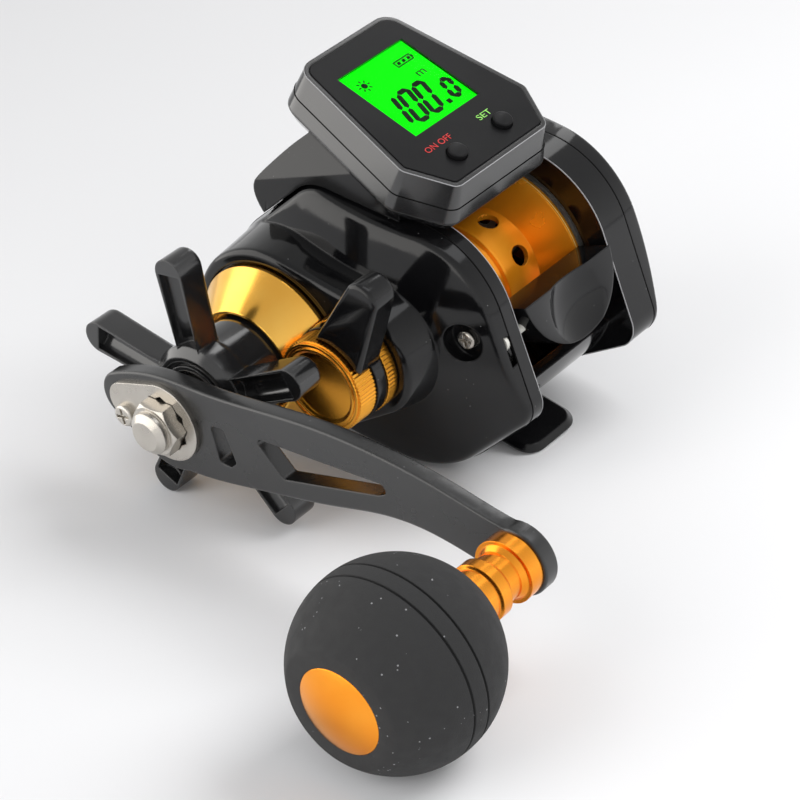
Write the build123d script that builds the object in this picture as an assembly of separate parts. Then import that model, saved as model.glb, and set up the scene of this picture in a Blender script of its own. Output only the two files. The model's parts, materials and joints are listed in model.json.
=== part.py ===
from build123d import *
import os
from math import cos, sin, tan, atan, sqrt, radians, pi

# Low-profile casting reel with a line-counter display on top.
# Millimetres. X runs along the spool axis with the handle on the -X side, Y points to the
# rod tip and Z is up. The origin is on the underside of the foot, below the spool axis.
# Every piece is drawn about the spool axis and lifted by axisHeight when it is written out.

# Clearances
runningFit = 0.03
freeGap = 0.3
partGap = 0.12
overrun = 1.0

# Main axes
axisHeight = 24.0
gearModule = 0.6
driveTeeth = 63
pinionTeeth = 10
driveAngle = -24.0
windTeeth = 36
wormTeeth = 12
wormAngle = 40.0
gearBacklash = 0.16
pressureAngle = 25.0
addendumShare = 0.8
dedendumShare = 1.1

gearCentres = gearModule * (driveTeeth + pinionTeeth) / 2
driveY = gearCentres * cos(radians(driveAngle))
driveZ = gearCentres * sin(radians(driveAngle))
windCentres = gearModule * (windTeeth + wormTeeth) / 2
wormY = driveY + windCentres * cos(radians(wormAngle))
wormZ = driveZ + windCentres * sin(radians(wormAngle))

# Spool
spoolWidth = 28.0
spoolOffset = 4.0
flangeRadius = 19.5
flangeRim = 1.0
flangeSlope = 3.6
arborRadius = 12.0
arborWall = 1.2
ridgeHeight = 0.7
ridgeWidth = 1.6
webThickness = 2.2
hubRadius = 3.4
hubLength = 12.0
arborHoles = 8
arborHoleRadius = 2.1
arborHoleInset = 8.0
shaftRadius = 1.6
spoolNear = spoolOffset - spoolWidth / 2
spoolFar = spoolOffset + spoolWidth / 2

# Frame side plates and the walls between them
plateGap = 0.7
plateThickness = 3.0
farPlateThickness = 7.0
nearIn = spoolNear - plateGap
nearOut = nearIn - plateThickness
farIn = spoolFar + plateGap
farOut = farIn + farPlateThickness
crownBack = 4.0
crownUp = 6.0
crownRadius = 19.8
tailBack = 26.0
tailDrop = 3.0
tailRadius = 5.5
browForward = 19.0
browUp = 13.0
browRadius = 10.0
gearCaseRadius = 22.0
bellyBack = 5.0
bellyDrop = 7.5
bellyRadius = 20.5
noseForward = 23.0
noseDrop = 3.0
noseRadius = 13.0
heelBack = 13.0
heelDrop = 13.0
heelRadius = 7.0
chinForward = 17.0
chinDrop = 11.0
chinRadius = 10.0
spoolClearance = 0.8
rearWallRadius = 25.7
rearWallThickness = 2.4
rearWallStart = 187.0
rearWallEnd = 238.0
bridgeBack = 13.5
bridgeForward = 22.0
bridgeThickness = 3.6
crossbarForward = 27.5
crossbarDrop = 13.0
crossbarRadius = 3.0

# Foot
footLength = 63.0
footWidth = 17.0
footForward = 4.0
footThickness = 2.2
footTip = 1.3
footStemLength = 36.0
footCorner = 4.5
footEdge = 0.4
footBevel = 50.0
footScrewRadius = 1.3
footScrewSpread = 13.0
footSink = 1.4

# Handle side cover
coverDepth = 8.8
coverDomeRadius = 95.0
coverDomeForward = 5.0
coverDomeDrop = 4.0
coverDraft = 12.0
coverRimRound = 1.8
islandBaseRadius = 21.7
islandRimRadius = 20.2
islandHeight = 5.4
tensionBaseRadius = 15.0
tensionRimRadius = 12.2
islandRound = 1.4
cupWall = 2.3
cupDepth = 1.0
tubeWall = 2.1
tubeHeight = 5.6
gearClearance = 0.5
coverWall = 1.6

# Gear stack on the drive shaft
driveShaftRadius = 3.0
driveShaftTail = 2.0
windGearWidth = 1.8
driveGearWidth = 3.4
pinionOverlap = 0.3
washerThickness = 0.5
washerCount = 3
washerRadius = 12.7
pressureWasherRadius = 9.0
pressureWasherThickness = 1.0
sleeveRadius = 5.0
clutchBearingRadius = 8.0
clutchBearingLength = 9.6
smallBearingRadius = 4.0
smallBearingLength = 2.2
pinionNeckRadius = 2.4
yokeThickness = 0.8
yokeWidth = 7.0
yokeLength = 26.0
yokePostRadius = 1.1
clutchPinRadius = 0.55
clutchThrow = 0.9
clutchEngage = 0.65

# Orange collar, star drag and handle
collarBigRadius = 17.4
collarSmallRadius = 11.6
collarHeight = 7.4
collarWall = 1.0
starSkirtRadius = 10.4
starSkirtLength = 10.0
starHubRadius = 10.9
starHubLength = 7.0
starReach = 29.6
starArms = 5
starArmAngle = -3.0
starArmWidth = 6.6
starArmRoot = 5.2
starArmThickness = 6.4
starRound = 1.2
starRecess = 1.6
starSpringRadius = 6.4
crankLength = 82.0
crankAngle = 166.1
handleThickness = 3.5
handleBevel = 0.5
handleSlotRound = 0.9
handleBigRadius = 11.0
handleStandOff = 4.2
handleEndRadius = 6.8
handleNoseRadius = 5.2
handleNoseForward = 11.5
lockPlateThickness = 1.0
lockRoundRadius = 8.1
lockTipRadius = 4.0
lockTipForward = 10.0
lockTilt = 8.0
nutFlats = 10.0
nutHeight = 4.2
nutDomeRadius = 4.3
nutDomeHeight = 2.2
lockScrewHead = 2.3
lockScrewShank = 1.1

# Knob
knobRadius = 18.5
knobStandOff = 32.2
knobFaceShare = 0.79
knobInnerShare = 0.93
knobCapRadius = 8.3
knobCapDome = 1.6
knobCoreRadius = 6.0
spindlePinRadius = 2.5
spindleFlangeRadius = 6.2
spindleNeckRadius = 4.7
spindleFlangeLength = 3.2
knobBearingRadius = 5.0
knobBearingLength = 3.0
knobGrooveWidth = 0.5
knobGrooveDepth = 0.5
knobGrooveShares = (-0.131, 0.058)

# Cast control knob and the lever behind it
spigotRadius = 7.4
skirtRadius = 10.0
skirtLength = 2.6
leverRingRadius = 9.8
leverThickness = 6.5
leverRingLength = 2.6
leverReach = 27.6
leverAngle = 103.5
leverRootWidth = 11.5
leverTipWidth = 7.4
leverRound = 1.0
capRadius = 9.6
capLength = 5.0
capFaceThickness = 1.6
capDish = 0.5
knurlCount = 72
knurlDepth = 0.22

# Palm side cover and magnetic brake
palmDepth = 8.4
palmDomeRadius = 82.0
palmDomeForward = 2.0
palmWall = 1.9
palmRimRound = 1.0
dialRadius = 10.5
dialHeight = 2.6
dialSink = 1.2
dialStemRadius = 2.2
carrierRadius = 14.5
carrierThickness = 1.8
magnetCount = 6
magnetRadius = 2.4
magnetThickness = 1.3
magnetCircle = 10.6
magnetThrow = 1.2

# Thumb bar
barTopBack = 23.4
barTopUp = 15.8
barSlope = 57.8
barWidth = 26.6
barDepth = 12.6
barThickness = 8.0
barTravel = 3.4
barSideGap = 0.5
scoopRadius = 17.0
scoopDepth = 1.9
barLinkRadius = 0.9
barLinkDepth = 3.9
barLinkInsert = 2.0
camThickness = 0.8
camReach = 16.0
camDrop = 9.0

# Line guide
pipeRadius = 3.4
pipeWall = 0.6
wormRadius = 2.3
wormTail = 1.3
carriageWidth = 7.4
carriageRadius = 4.7
carriageTravel = 9.0
eyeForward = 5.0
eyeUp = 3.9
eyeRadius = 2.9
eyeBore = 1.7
eyeLength = 1.8
guideRodRadius = 1.2
pipeSeat = 2.4
guideRodForward = 0.5
guideRodDrop = 7.2
pawlRadius = 1.5

# Front hood that carries the display
hoodSide = 2.6
hoodTopBack = 3.0
hoodTopForward = 27.2
hoodFrontForward = 37.6
hoodFrontUp = 13.2
hoodLipForward = 34.0
hoodLipUp = 8.4
hoodShell = 3.4
hoodShoulderUp = 15.2
hoodShoulderLean = 41.0
hoodShoulderTurn = 57.4
hoodCheekDrop = 5.0

# Display unit, drawn in its own tilted frame with its face at zero
displayTilt = 7.4
displayForward = 15.5
displayUp = 41.1
faceFrontHalf = 12.2
faceFront = 15.6
faceWaistHalf = 17.6
faceWaist = 13.7
faceRearHalf = 12.9
faceRear = 22.4
faceCorner = 3.0
faceWaistCorner = 1.2
caseInset = 0.9
caseDraft = 11.0
caseHeight = 8.6
caseWall = 1.4
baseHeight = 2.4
bezelThickness = 1.2
lcdWidth = 18.9
lcdHeight = 19.4
windowThickness = 0.5
lcdThickness = 1.6
buttonSpread = 6.8
buttonBack = 17.5
buttonRadius = 1.95
buttonStand = 1.1
buttonTravel = 0.5
buttonFlange = 0.9
buttonFlangeThickness = 0.7
boardThickness = 1.0
boardDepth = 4.2
cellRadius = 8.0
cellThickness = 3.0

# Screws
screwHead = 2.0
screwHeadThickness = 1.3
screwShank = 0.9
screwLength = 5.0
crossWidth = 0.6
crossDepth = 0.7
coverScrewBack = 16.9
coverScrewUp = 9.2
coverScrewInset = 4.4
recessRadius = 3.9

pieces = {}


# Shape helpers

def rod(x0, x1, radius, y=0, z=0):
    return Pos((x0 + x1) / 2, y, z) * Rot(0, 90, 0) * Cylinder(radius, abs(x1 - x0))


def tube(x0, x1, outer, inner, y=0, z=0):
    reach = abs(x1 - x0) + 2 * overrun
    bore = Pos((x0 + x1) / 2, y, z) * Rot(0, 90, 0) * Cylinder(inner, reach)
    return rod(x0, x1, outer, y, z) - bore


def turned(profile, y=0, z=0):
    outline = Polyline(*[(x, r) for x, r in profile], close=True)
    return Pos(0, y, z) * revolve(make_face(outline), Axis.X)


def hullFace(circles):
    return make_hull([(Pos(y, z) * Circle(r)).edge() for y, z, r in circles])


def hullPlate(circles, x0, x1):
    low = min(x0, x1)
    return extrude(Plane.YZ.offset(low) * hullFace(circles), amount=abs(x1 - x0))


def block(x0, x1, y0, y1, z0, z1):
    centre = Pos((x0 + x1) / 2, (y0 + y1) / 2, (z0 + z1) / 2)
    return centre * Box(abs(x1 - x0), abs(y1 - y0), abs(z1 - z0))


def crossSlot(size, depth):
    arm = Box(size, crossWidth, depth)
    return arm + Rot(0, 0, 90) * Box(size, crossWidth, depth)


def screw(head, shank, length):
    # Pan-head cross screw along +Z with the head's underside at zero.
    body = Pos(0, 0, screwHeadThickness / 2) * Cylinder(head, screwHeadThickness)
    body = fillet(body.edges().group_by(Axis.Z)[-1], screwHeadThickness / 2)
    body += Pos(0, 0, -length / 2) * Cylinder(shank, length)
    return body - Pos(0, 0, screwHeadThickness) * crossSlot(head * sqrt(2), 2 * crossDepth)


def onHandleSide(shape, x, y, z):
    # Turns a piece drawn along +Z so that it points out of the handle side.
    return Pos(x, y, z) * Rot(0, -90, 0) * shape


def onPalmSide(shape, x, y, z):
    return Pos(x, y, z) * Rot(0, 90, 0) * shape


def gearFace(teeth, turn=0):
    # Spur gear outline with involute flanks, thinned by the backlash.
    pitch = gearModule * teeth / 2
    base = pitch * cos(radians(pressureAngle))
    tip = pitch + gearModule * addendumShare
    root = pitch - gearModule * dedendumShare
    involutePitch = tan(radians(pressureAngle)) - radians(pressureAngle)
    halfTooth = pi / (2 * teeth) - gearBacklash / (4 * pitch)
    steps = 4
    start = max(base, root)
    flank = []
    for i in range(steps + 1):
        radius = start + (tip - start) * i / steps
        roll = sqrt(max((radius / base) ** 2 - 1, 0))
        slide = roll - atan(roll)
        flank.append((radius, halfTooth + involutePitch - slide))
    points = []
    for k in range(teeth):
        centre = turn + 2 * pi * k / teeth
        rise = [(root, -flank[0][1])] + [(r, -a) for r, a in flank]
        fall = [(r, a) for r, a in reversed(flank)] + [(root, flank[0][1])]
        for radius, angle in rise + fall:
            points.append((radius * cos(centre + angle), radius * sin(centre + angle)))
    return make_face(Polyline(*distinct(points), close=True))


def distinct(points):
    kept = []
    for p in points:
        if not kept or abs(p[0] - kept[-1][0]) + abs(p[1] - kept[-1][1]) > gearModule / 1000:
            kept.append(p)
    return kept


def gear(teeth, x0, x1, y, z, bore, turn=0):
    low, high = min(x0, x1), max(x0, x1)
    blank = extrude(Plane.YZ.offset(low) * gearFace(teeth, turn), amount=high - low)
    return Pos(0, y, z) * blank - rod(low - overrun, high + overrun, bore, y, z)


def knurled(radius, x0, x1, y=0, z=0):
    # Cylinder with shallow flutes all round, as one extruded outline.
    points = []
    for k in range(knurlCount):
        for r, share in ((radius, 0), (radius - knurlDepth, 0.5)):
            angle = 2 * pi * (k + share) / knurlCount
            points.append((r * cos(angle), r * sin(angle)))
    face = make_face(Polyline(*points, close=True))
    return Pos(0, y, z) * extrude(Plane.YZ.offset(min(x0, x1)) * face, amount=abs(x1 - x0))


def keep(name, shape):
    pieces[name] = shape


# Outlines shared by the plates and covers, as circles (y, z, radius) joined by tangents

crown = (-crownBack, crownUp, crownRadius)
tail = (-tailBack, -tailDrop, tailRadius)
brow = (browForward, browUp, browRadius)
gearCase = (driveY, driveZ, gearCaseRadius)
belly = (-bellyBack, -bellyDrop, bellyRadius)
nose = (noseForward, -noseDrop, noseRadius)
heel = (-heelBack, -heelDrop, heelRadius)
chin = (chinForward, -chinDrop, chinRadius)
nearOutline = [crown, tail, brow, gearCase, belly]
farOutline = [crown, tail, brow, nose, chin, heel]


def grown(circles, by):
    return [(y, z, r + by) for y, z, r in circles]


# Stations along X on the handle side, each from the one before it

windGearIn = nearOut - freeGap
windGearOut = windGearIn - windGearWidth
driveGearIn = windGearOut - freeGap
driveGearOut = driveGearIn - driveGearWidth
coverFaceIn = driveGearOut - gearClearance
coverFace = nearOut - coverDepth
islandRim = coverFace - islandHeight
cupFloor = islandRim + cupDepth
tubeEnd = islandRim - tubeHeight
starIn = tubeEnd - freeGap
starHubIn = starIn - starSkirtLength
starFront = starHubIn - starHubLength
handleIn = starFront - handleStandOff
handleOut = handleIn - handleThickness
knobCentre = handleOut - knobStandOff
skirtIn = islandRim - freeGap
skirtOut = skirtIn - skirtLength
clutchSeat = coverFaceIn - 2 * coverWall
leverIn = skirtOut - freeGap
leverRingOut = leverIn - leverRingLength
capIn = leverRingOut - freeGap
capOut = capIn - capLength


# Frame

def rearWallProfile():
    inner = rearWallRadius - rearWallThickness
    arcs = []
    for radius in (rearWallRadius, inner):
        arcs.append(CenterArc((0, 0), radius, rearWallStart, rearWallEnd - rearWallStart))
    caps = [Line(arcs[0] @ 0, arcs[1] @ 0), Line(arcs[0] @ 1, arcs[1] @ 1)]
    return make_face(arcs + caps)


def makeFrame():
    near = hullPlate(nearOutline, nearOut, nearIn)
    far = hullPlate(farOutline, farIn, farOut)
    rear = extrude(Plane.YZ.offset(nearIn) * rearWallProfile(), amount=farIn - nearIn)
    bottom = -axisHeight + footThickness
    bridge = block(nearIn, farIn, -bridgeBack, bridgeForward, bottom, bottom + bridgeThickness)
    bar = rod(nearIn, farIn, crossbarRadius, crossbarForward, -crossbarDrop)
    bore = spoolClearance + flangeRadius
    shell = rear + bridge + bar - rod(nearIn - overrun, farOut + overrun, bore)
    far -= rod(farIn - overrun, farOut + overrun, bore)
    frame = near + far + shell
    frame -= rod(nearOut - overrun, nearIn + overrun, smallBearingRadius + freeGap)
    frame -= rod(nearOut - overrun, nearIn - plateThickness / 4, smallBearingRadius, driveY, driveZ)
    frame -= rod(nearOut - overrun, farIn + pipeSeat + plateThickness - partGap, wormTail + runningFit, wormY, wormZ)
    frame -= rod(nearOut + plateThickness / 3, nearIn + overrun, pipeRadius, wormY, wormZ)
    frame -= rod(farIn - overrun, farIn + pipeSeat, pipeRadius, wormY, wormZ)
    rodY, rodZ = wormY + guideRodForward, wormZ - guideRodDrop
    frame -= rod(nearIn - plateThickness / 2, nearIn + overrun, guideRodRadius, rodY, rodZ)
    frame -= rod(farIn - overrun, farIn + plateThickness / 2, guideRodRadius, rodY, rodZ)
    for y, z in yokePosts():
        frame += rod(nearIn - plateThickness / 2, coverFaceIn + partGap, yokePostRadius, y, z)
    frame -= linkSlot()
    frame -= sensorPocket(partGap)
    for spot in footScrewSpots():
        drill = Pos(spot[0], spot[1], bottom + bridgeThickness / 2)
        frame -= drill * Cylinder(screwShank, bridgeThickness + overrun)
    frame -= rod(nearOut - overrun, nearIn + overrun, screwShank, *coverScrewSpot())
    for y, z in innerScrewSpots():
        frame -= rod(nearOut - overrun, nearIn + overrun, screwShank + runningFit, y, z)
        frame -= rod(innerScrewSeat(), nearIn + overrun, screwHead + partGap, y, z)
    for y, z in palmScrewSpots():
        frame -= rod(farOut - screwLength, farOut + overrun, screwShank, y, z)
    return frame


def footScrewSpots():
    middle = (nearIn + farIn) / 2
    return [(middle, footForward - footScrewSpread), (middle, footForward + footScrewSpread)]


def coverScrewSpot():
    # The one cover screw that is driven from outside.
    return -coverScrewBack, coverScrewUp


def innerScrewSpots():
    # Screws driven from the spool's side through the near plate into the cover.
    return [(browForward, browUp + browRadius - coverScrewInset),
            (-bellyBack * 2, -bellyDrop - bellyRadius + 2 * coverScrewInset)]


def innerScrewSeat():
    return nearIn - screwHeadThickness - partGap


def palmScrewSpots():
    return [(-tailBack, -tailDrop), (noseForward + noseRadius / 2, -noseDrop),
            (-crownBack, crownUp + crownRadius - coverScrewInset)]


# Foot

def makeFoot():
    low = -axisHeight
    middle = (nearIn + farIn) / 2
    inset = footTip * tan(radians(footBevel))
    foot = extrude(RectangleRounded(footWidth, footLength, footCorner), amount=footTip, taper=footBevel)
    foot = chamfer(foot.edges().group_by(Axis.Z)[0], footEdge)
    foot += Pos(0, 0, footThickness / 2) * Box(footWidth - 2 * inset, footStemLength, footThickness)
    foot = Pos(middle, footForward, low) * foot
    for spot in footScrewSpots():
        sink = Pos(spot[0], spot[1], low)
        foot -= sink * Cylinder(footScrewRadius * 1.6, 2 * footSink)
        foot -= sink * Cylinder(footScrewRadius, 3 * footThickness)
    return foot


# Covers

def makeNearCover():
    shrink = (coverDepth + overrun) * tan(radians(coverDraft))
    small = Plane.YZ.offset(coverFace - overrun) * hullFace(grown(nearOutline, -shrink))
    base = loft([small, Plane.YZ.offset(nearOut) * hullFace(nearOutline)])
    dome = Pos(coverFace + coverDomeRadius, coverDomeForward, -coverDomeDrop) * Sphere(coverDomeRadius)
    base = base & dome
    rim = [e for e in base.edges() if e.center().X < nearOut - coverRimRound / 2]
    base = fillet(rim, coverRimRound)
    low = hullFace([(driveY, driveZ, islandBaseRadius), (0, 0, tensionBaseRadius)])
    high = hullFace([(driveY, driveZ, islandRimRadius), (0, 0, tensionRimRadius)])
    island = loft([Plane.YZ.offset(islandRim) * high, Plane.YZ.offset(nearOut) * low])
    island = fillet(island.edges().group_by(Axis.X)[0], islandRound)
    cover = base + island
    cover -= rod(islandRim - overrun, cupFloor, islandRimRadius - cupWall, driveY, driveZ)
    cover += rod(cupFloor + coverWall, tubeEnd, clutchBearingRadius + tubeWall, driveY, driveZ)
    cover += rod(islandRim + coverWall, capOut + capFaceThickness + freeGap, spigotRadius)
    return cover - coverRoom() - coverBores()


def coverRoom():
    # Space inside the cover for the gears, the clutch yoke and the cam plate.
    gearRoom = gearModule * (driveTeeth / 2 + 1) + gearClearance
    room = hullPlate([(driveY, driveZ, gearRoom), (0, 0, tensionRimRadius - coverWall)], coverFaceIn, nearOut + overrun)
    room += hullPlate([(y, z, yokeWidth / 2 + freeGap) for y, z in yokePosts()], coverFaceIn, nearOut + overrun)
    inner = nearOut - 2 * freeGap - camThickness
    for leg in camLegs():
        moved = [(y + barDown()[1] * barTravel, z + barDown()[2] * barTravel, r) for y, z, r in leg]
        room += hullPlate(grown(leg + moved, freeGap), inner, nearOut + overrun)
    room += rod(coverFaceIn + overrun, sleeveStart() - freeGap, pressureWasherRadius + freeGap, driveY, driveZ)
    return room


def coverBores():
    bores = rod(coverFaceIn + overrun, tubeEnd - overrun, sleeveRadius + partGap, driveY, driveZ)
    bores += rod(clutchSeat, tubeEnd - overrun, clutchBearingRadius, driveY, driveZ)
    bores += rod(coverFaceIn + overrun, capOut - overrun, shaftRadius + freeGap)
    seat = capOut + capFaceThickness + freeGap
    bores += rod(seat - overrun, seat + smallBearingLength, smallBearingRadius)
    bores += rod(coverFaceIn + overrun, pinionBearingOut(), smallBearingRadius)
    bores += rod(nearOut + overrun, coverFace - overrun, screwShank + runningFit, *coverScrewSpot())
    bores += rod(coverScrewSeat(), coverFace - overrun, recessRadius, *coverScrewSpot())
    for y, z in innerScrewSpots():
        bores += rod(innerScrewSeat() - screwLength - freeGap, nearOut + overrun, screwShank, y, z)
    return bores


def coverScrewSeat():
    return nearOut - 2 * coverWall


def sleeveStart():
    return driveGearOut - pressureWasherThickness


def pinionBearingIn():
    return driveGearOut - pinionOverlap - clutchThrow - freeGap


def pinionBearingOut():
    return pinionBearingIn() - smallBearingLength


def makePalmCover():
    dome, inner = palmDome(palmDomeRadius), palmDome(palmDomeRadius - palmWall)
    shell = hullPlate(farOutline, farOut, farOut + palmDepth + overrun) & dome
    rim = [e for e in shell.edges() if e.center().X > farOut + palmRimRound / 2]
    shell = fillet(rim, palmRimRound)
    hollow = hullPlate(grown(farOutline, -palmWall), farOut - overrun, farOut + palmDepth) & inner
    shell -= hollow
    shell += rod(bossIn(), dialSeat(), smallBearingRadius + palmWall)
    for y, z in palmScrewSpots():
        post = rod(farOut, farOut + palmDepth, screwHead + palmWall / 2, y, z) & dome
        shell += post & hullPlate(farOutline, farOut, farOut + palmDepth)
        shell -= rod(farOut - overrun, farOut + palmDepth, screwShank + runningFit, y, z)
        shell -= rod(farOut + palmWall, farOut + palmDepth, screwHead + partGap, y, z)
    shell -= rod(dialSeat(), farOut + palmDepth + overrun, dialRadius + partGap)
    shell += rod(dialSeat() - palmWall, dialSeat(), dialRadius + palmWall / 2)
    shell -= rod(bossIn() - overrun, bossIn() + smallBearingLength, smallBearingRadius)
    shell -= rod(bossIn(), dialSeat() + overrun, dialStemRadius + runningFit)
    return shell


def palmDome(radius):
    # Turned half round so that the ball's seam is far from the cover.
    return Pos(farOut + palmDepth - palmDomeRadius, palmDomeForward, 0) * Rot(0, 0, 180) * Sphere(radius)


def bossIn():
    return farOut - freeGap - carrierThickness - magnetThrow - freeGap


def dialSeat():
    return farOut + palmDepth - dialSink


# Spool and its shaft

def makeSpool():
    root = flangeSlope + flangeRim
    ridge = arborRadius + ridgeHeight
    inner = arborRadius - arborWall
    web = spoolOffset + webThickness / 2
    profile = [
        (spoolNear, flangeRadius), (spoolNear + flangeRim, flangeRadius),
        (spoolNear + root, arborRadius), (spoolOffset - ridgeWidth / 2, arborRadius),
        (spoolOffset - ridgeWidth / 4, ridge), (spoolOffset + ridgeWidth / 4, ridge),
        (spoolOffset + ridgeWidth / 2, arborRadius), (spoolFar - root, arborRadius),
        (spoolFar - flangeRim, flangeRadius), (spoolFar, flangeRadius),
        (spoolFar, flangeRadius - flangeRim), (spoolFar - root + arborWall / 2, inner),
        (web, inner), (web, hubRadius), (web + hubLength / 2, hubRadius),
        (web + hubLength / 2, shaftRadius), (spoolNear, shaftRadius),
    ]
    spool = turned(profile)
    wall = tube(spoolNear + flangeRim, spoolOffset - webThickness / 2, inner, hubRadius)
    spool -= wall
    for k in range(arborHoles):
        hole = Pos(spoolFar - arborHoleInset, 0, 0) * Rot(360 * k / arborHoles, 0, 0)
        spool -= hole * Pos(0, 0, arborRadius) * Cylinder(arborHoleRadius, 4 * arborWall)
    for side in (-1, 1):
        spool -= countMagnet(side, partGap / 2)
    return spool


def countMagnet(side, extra=0):
    middle = (arborRadius + flangeRadius) / 2
    low = spoolNear
    return rod(low, low + flangeRim - partGap, shaftRadius * 0.8 + extra, 0, side * middle)


def makeSpoolShaft():
    shaft = rod(shaftEnd(), bossIn() + smallBearingLength, shaftRadius)
    reach = 2 * pinionNeckRadius + clutchPinRadius
    return shaft + Pos(clutchPinX(), 0, 0) * Cylinder(clutchPinRadius, reach)


def shaftEnd():
    return capOut + capFaceThickness + freeGap


def clutchPinX():
    return nearOut + clutchPinRadius


def makePinion():
    bore = shaftRadius + runningFit
    teethIn = driveGearIn + pinionOverlap
    teethOut = driveGearOut - pinionOverlap
    slotEnd = clutchPinX() - clutchPinRadius + clutchEngage
    pinion = gear(pinionTeeth, teethIn, teethOut, 0, 0, bore, pinionTurn())
    pinion += tube(teethOut, pinionBearingOut() + clutchThrow, pinionNeckRadius, bore)
    pinion += tube(teethIn, slotEnd, pinionNeckRadius, bore)
    pinion += tube(yokeIn() + partGap, slotEnd, gearModule * (pinionTeeth + 1) / 2, bore)
    width = clutchPinRadius + partGap
    slot = block(clutchPinX() - width, slotEnd + overrun, -width, width, -2 * pinionNeckRadius, 2 * pinionNeckRadius)
    return pinion - slot


def pinionTurn():
    # Sets a pinion space on the line of centres, where the drive gear has a tooth.
    return radians(driveAngle) + pi / pinionTeeth


def yokeIn():
    return windGearIn - partGap


def yokePosts():
    # The yoke lies across the line of centres, so that both posts stay clear of the drive gear.
    reach = (yokeLength - yokeWidth) / 2
    angle = radians(driveAngle + 90)
    return [(side * reach * cos(angle), side * reach * sin(angle)) for side in (-1, 1)]


def makeYoke():
    out = yokeIn() - yokeThickness
    plan = Plane.YZ.offset(out) * SlotOverall(yokeLength, yokeWidth, rotation=90)
    yoke = extrude(plan, amount=yokeThickness)
    grip = pinionNeckRadius + partGap
    yoke -= rod(out - overrun, out + yokeThickness + overrun, grip)
    yoke -= block(out - overrun, out + yokeThickness + overrun, -yokeWidth, 0, -grip, grip)
    yoke = Rot(driveAngle, 0, 0) * yoke
    for y, z in yokePosts():
        yoke -= rod(out - overrun, out + yokeThickness + overrun, yokePostRadius + partGap, y, z)
    return yoke


def makeYokeSprings():
    # Two short compression springs between the yoke and the cover, drawn as their outer sleeves.
    start = yokeIn() - yokeThickness - clutchThrow
    return [tube(start, coverFaceIn + partGap, 2 * yokePostRadius, yokePostRadius + partGap, y, z)
            for y, z in yokePosts()]


# Gear train

def makeDriveGear():
    wheel = gear(driveTeeth, driveGearIn, driveGearOut, driveY, driveZ, driveShaftRadius, driveTurn())
    stack = washerCount * washerThickness
    return wheel - rod(driveGearOut - overrun, driveGearOut + stack, washerRadius + partGap, driveY, driveZ)


def driveTurn():
    return radians(driveAngle) + pi


def makeDragWashers():
    discs = []
    start = driveGearOut + washerCount * washerThickness
    for k in range(washerCount):
        x = start - k * washerThickness
        discs.append(tube(x, x - washerThickness, washerRadius, driveShaftRadius, driveY, driveZ))
    discs.append(tube(driveGearOut, sleeveStart(), pressureWasherRadius, driveShaftRadius, driveY, driveZ))
    return discs


def makeDriveShaft():
    seatOut = nearOut - freeGap / 2
    end = handleOut - nutHeight
    shaft = rod(seatOut, end, driveShaftRadius, driveY, driveZ)
    shaft += rod(seatOut, nearIn - plateThickness / 3, driveShaftTail, driveY, driveZ)
    return shaft


def makeDriveBearing():
    inner = nearIn - plateThickness / 4
    return tube(nearOut, inner, smallBearingRadius, driveShaftTail + runningFit, driveY, driveZ)


def windMesh():
    return radians(wormAngle)


def makeWindGear():
    return gear(windTeeth, windGearIn, windGearOut, driveY, driveZ, driveShaftRadius, windMesh())


def makeWormGear():
    turn = windMesh() + pi + pi / wormTeeth
    return gear(wormTeeth, windGearIn, windGearOut, wormY, wormZ, wormTail, turn)


def makeWormShaft():
    body = rod(nearIn, farIn, wormRadius, wormY, wormZ)
    shaft = body + rod(nearIn, windGearOut, wormTail, wormY, wormZ)
    return shaft + rod(farIn, farIn + pipeSeat + plateThickness - freeGap, wormTail, wormY, wormZ)


def makeSleeve():
    return tube(sleeveStart(), sleeveEnd(), sleeveRadius, driveShaftRadius, driveY, driveZ)


def sleeveEnd():
    return starHubIn + starRecess + 4 * washerThickness + 2 * runningFit


def makeClutchBearing():
    end = clutchSeat - clutchBearingLength
    return tube(clutchSeat, end, clutchBearingRadius, sleeveRadius + runningFit, driveY, driveZ)


# Orange collar, star drag and handle

def makeCollar():
    # Turned cone with a saddle cut where the cast control knob and its lever turn beside it.
    big = islandRim - partGap - collarWall
    small = big - collarHeight
    bore = clutchBearingRadius + tubeWall + partGap
    profile = [
        (cupFloor, bore), (cupFloor, collarBigRadius), (big, collarBigRadius), (small, collarSmallRadius),
        (small, collarSmallRadius - collarWall / 2), (tubeEnd, collarSmallRadius - collarWall / 2), (tubeEnd, bore),
    ]
    return turned(profile, driveY, driveZ) - rod(cupFloor + overrun, capOut - overrun, skirtRadius + freeGap)


def starArm(k):
    # A paddle that widens towards a rounded tip and leans back over its length.
    root, tip = starArmRoot / 2, starArmWidth / 2
    reach = starReach - tip
    outline = make_hull([(Pos(starHubRadius * 0.6, 0) * Circle(root)).edge(), (Pos(reach, 0) * Circle(tip)).edge()])
    middle = (starHubIn + starFront) / 2 + starRecess / 2
    arm = extrude(Plane.YZ.offset(middle - starArmThickness / 2) * outline, amount=starArmThickness)
    neck = Pos(middle - starArmThickness / 2, starHubRadius * 1.5, 0) * Rot(90, 0, 0)
    arm -= neck * Cylinder(starArmThickness * 0.42, 3 * starArmWidth)
    arm = fillet(arm.edges().group_by(Axis.X)[-1], starRound)
    return Pos(0, driveY, driveZ) * Rot(starArmAngle + 360 * k / starArms, 0, 0) * arm


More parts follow.
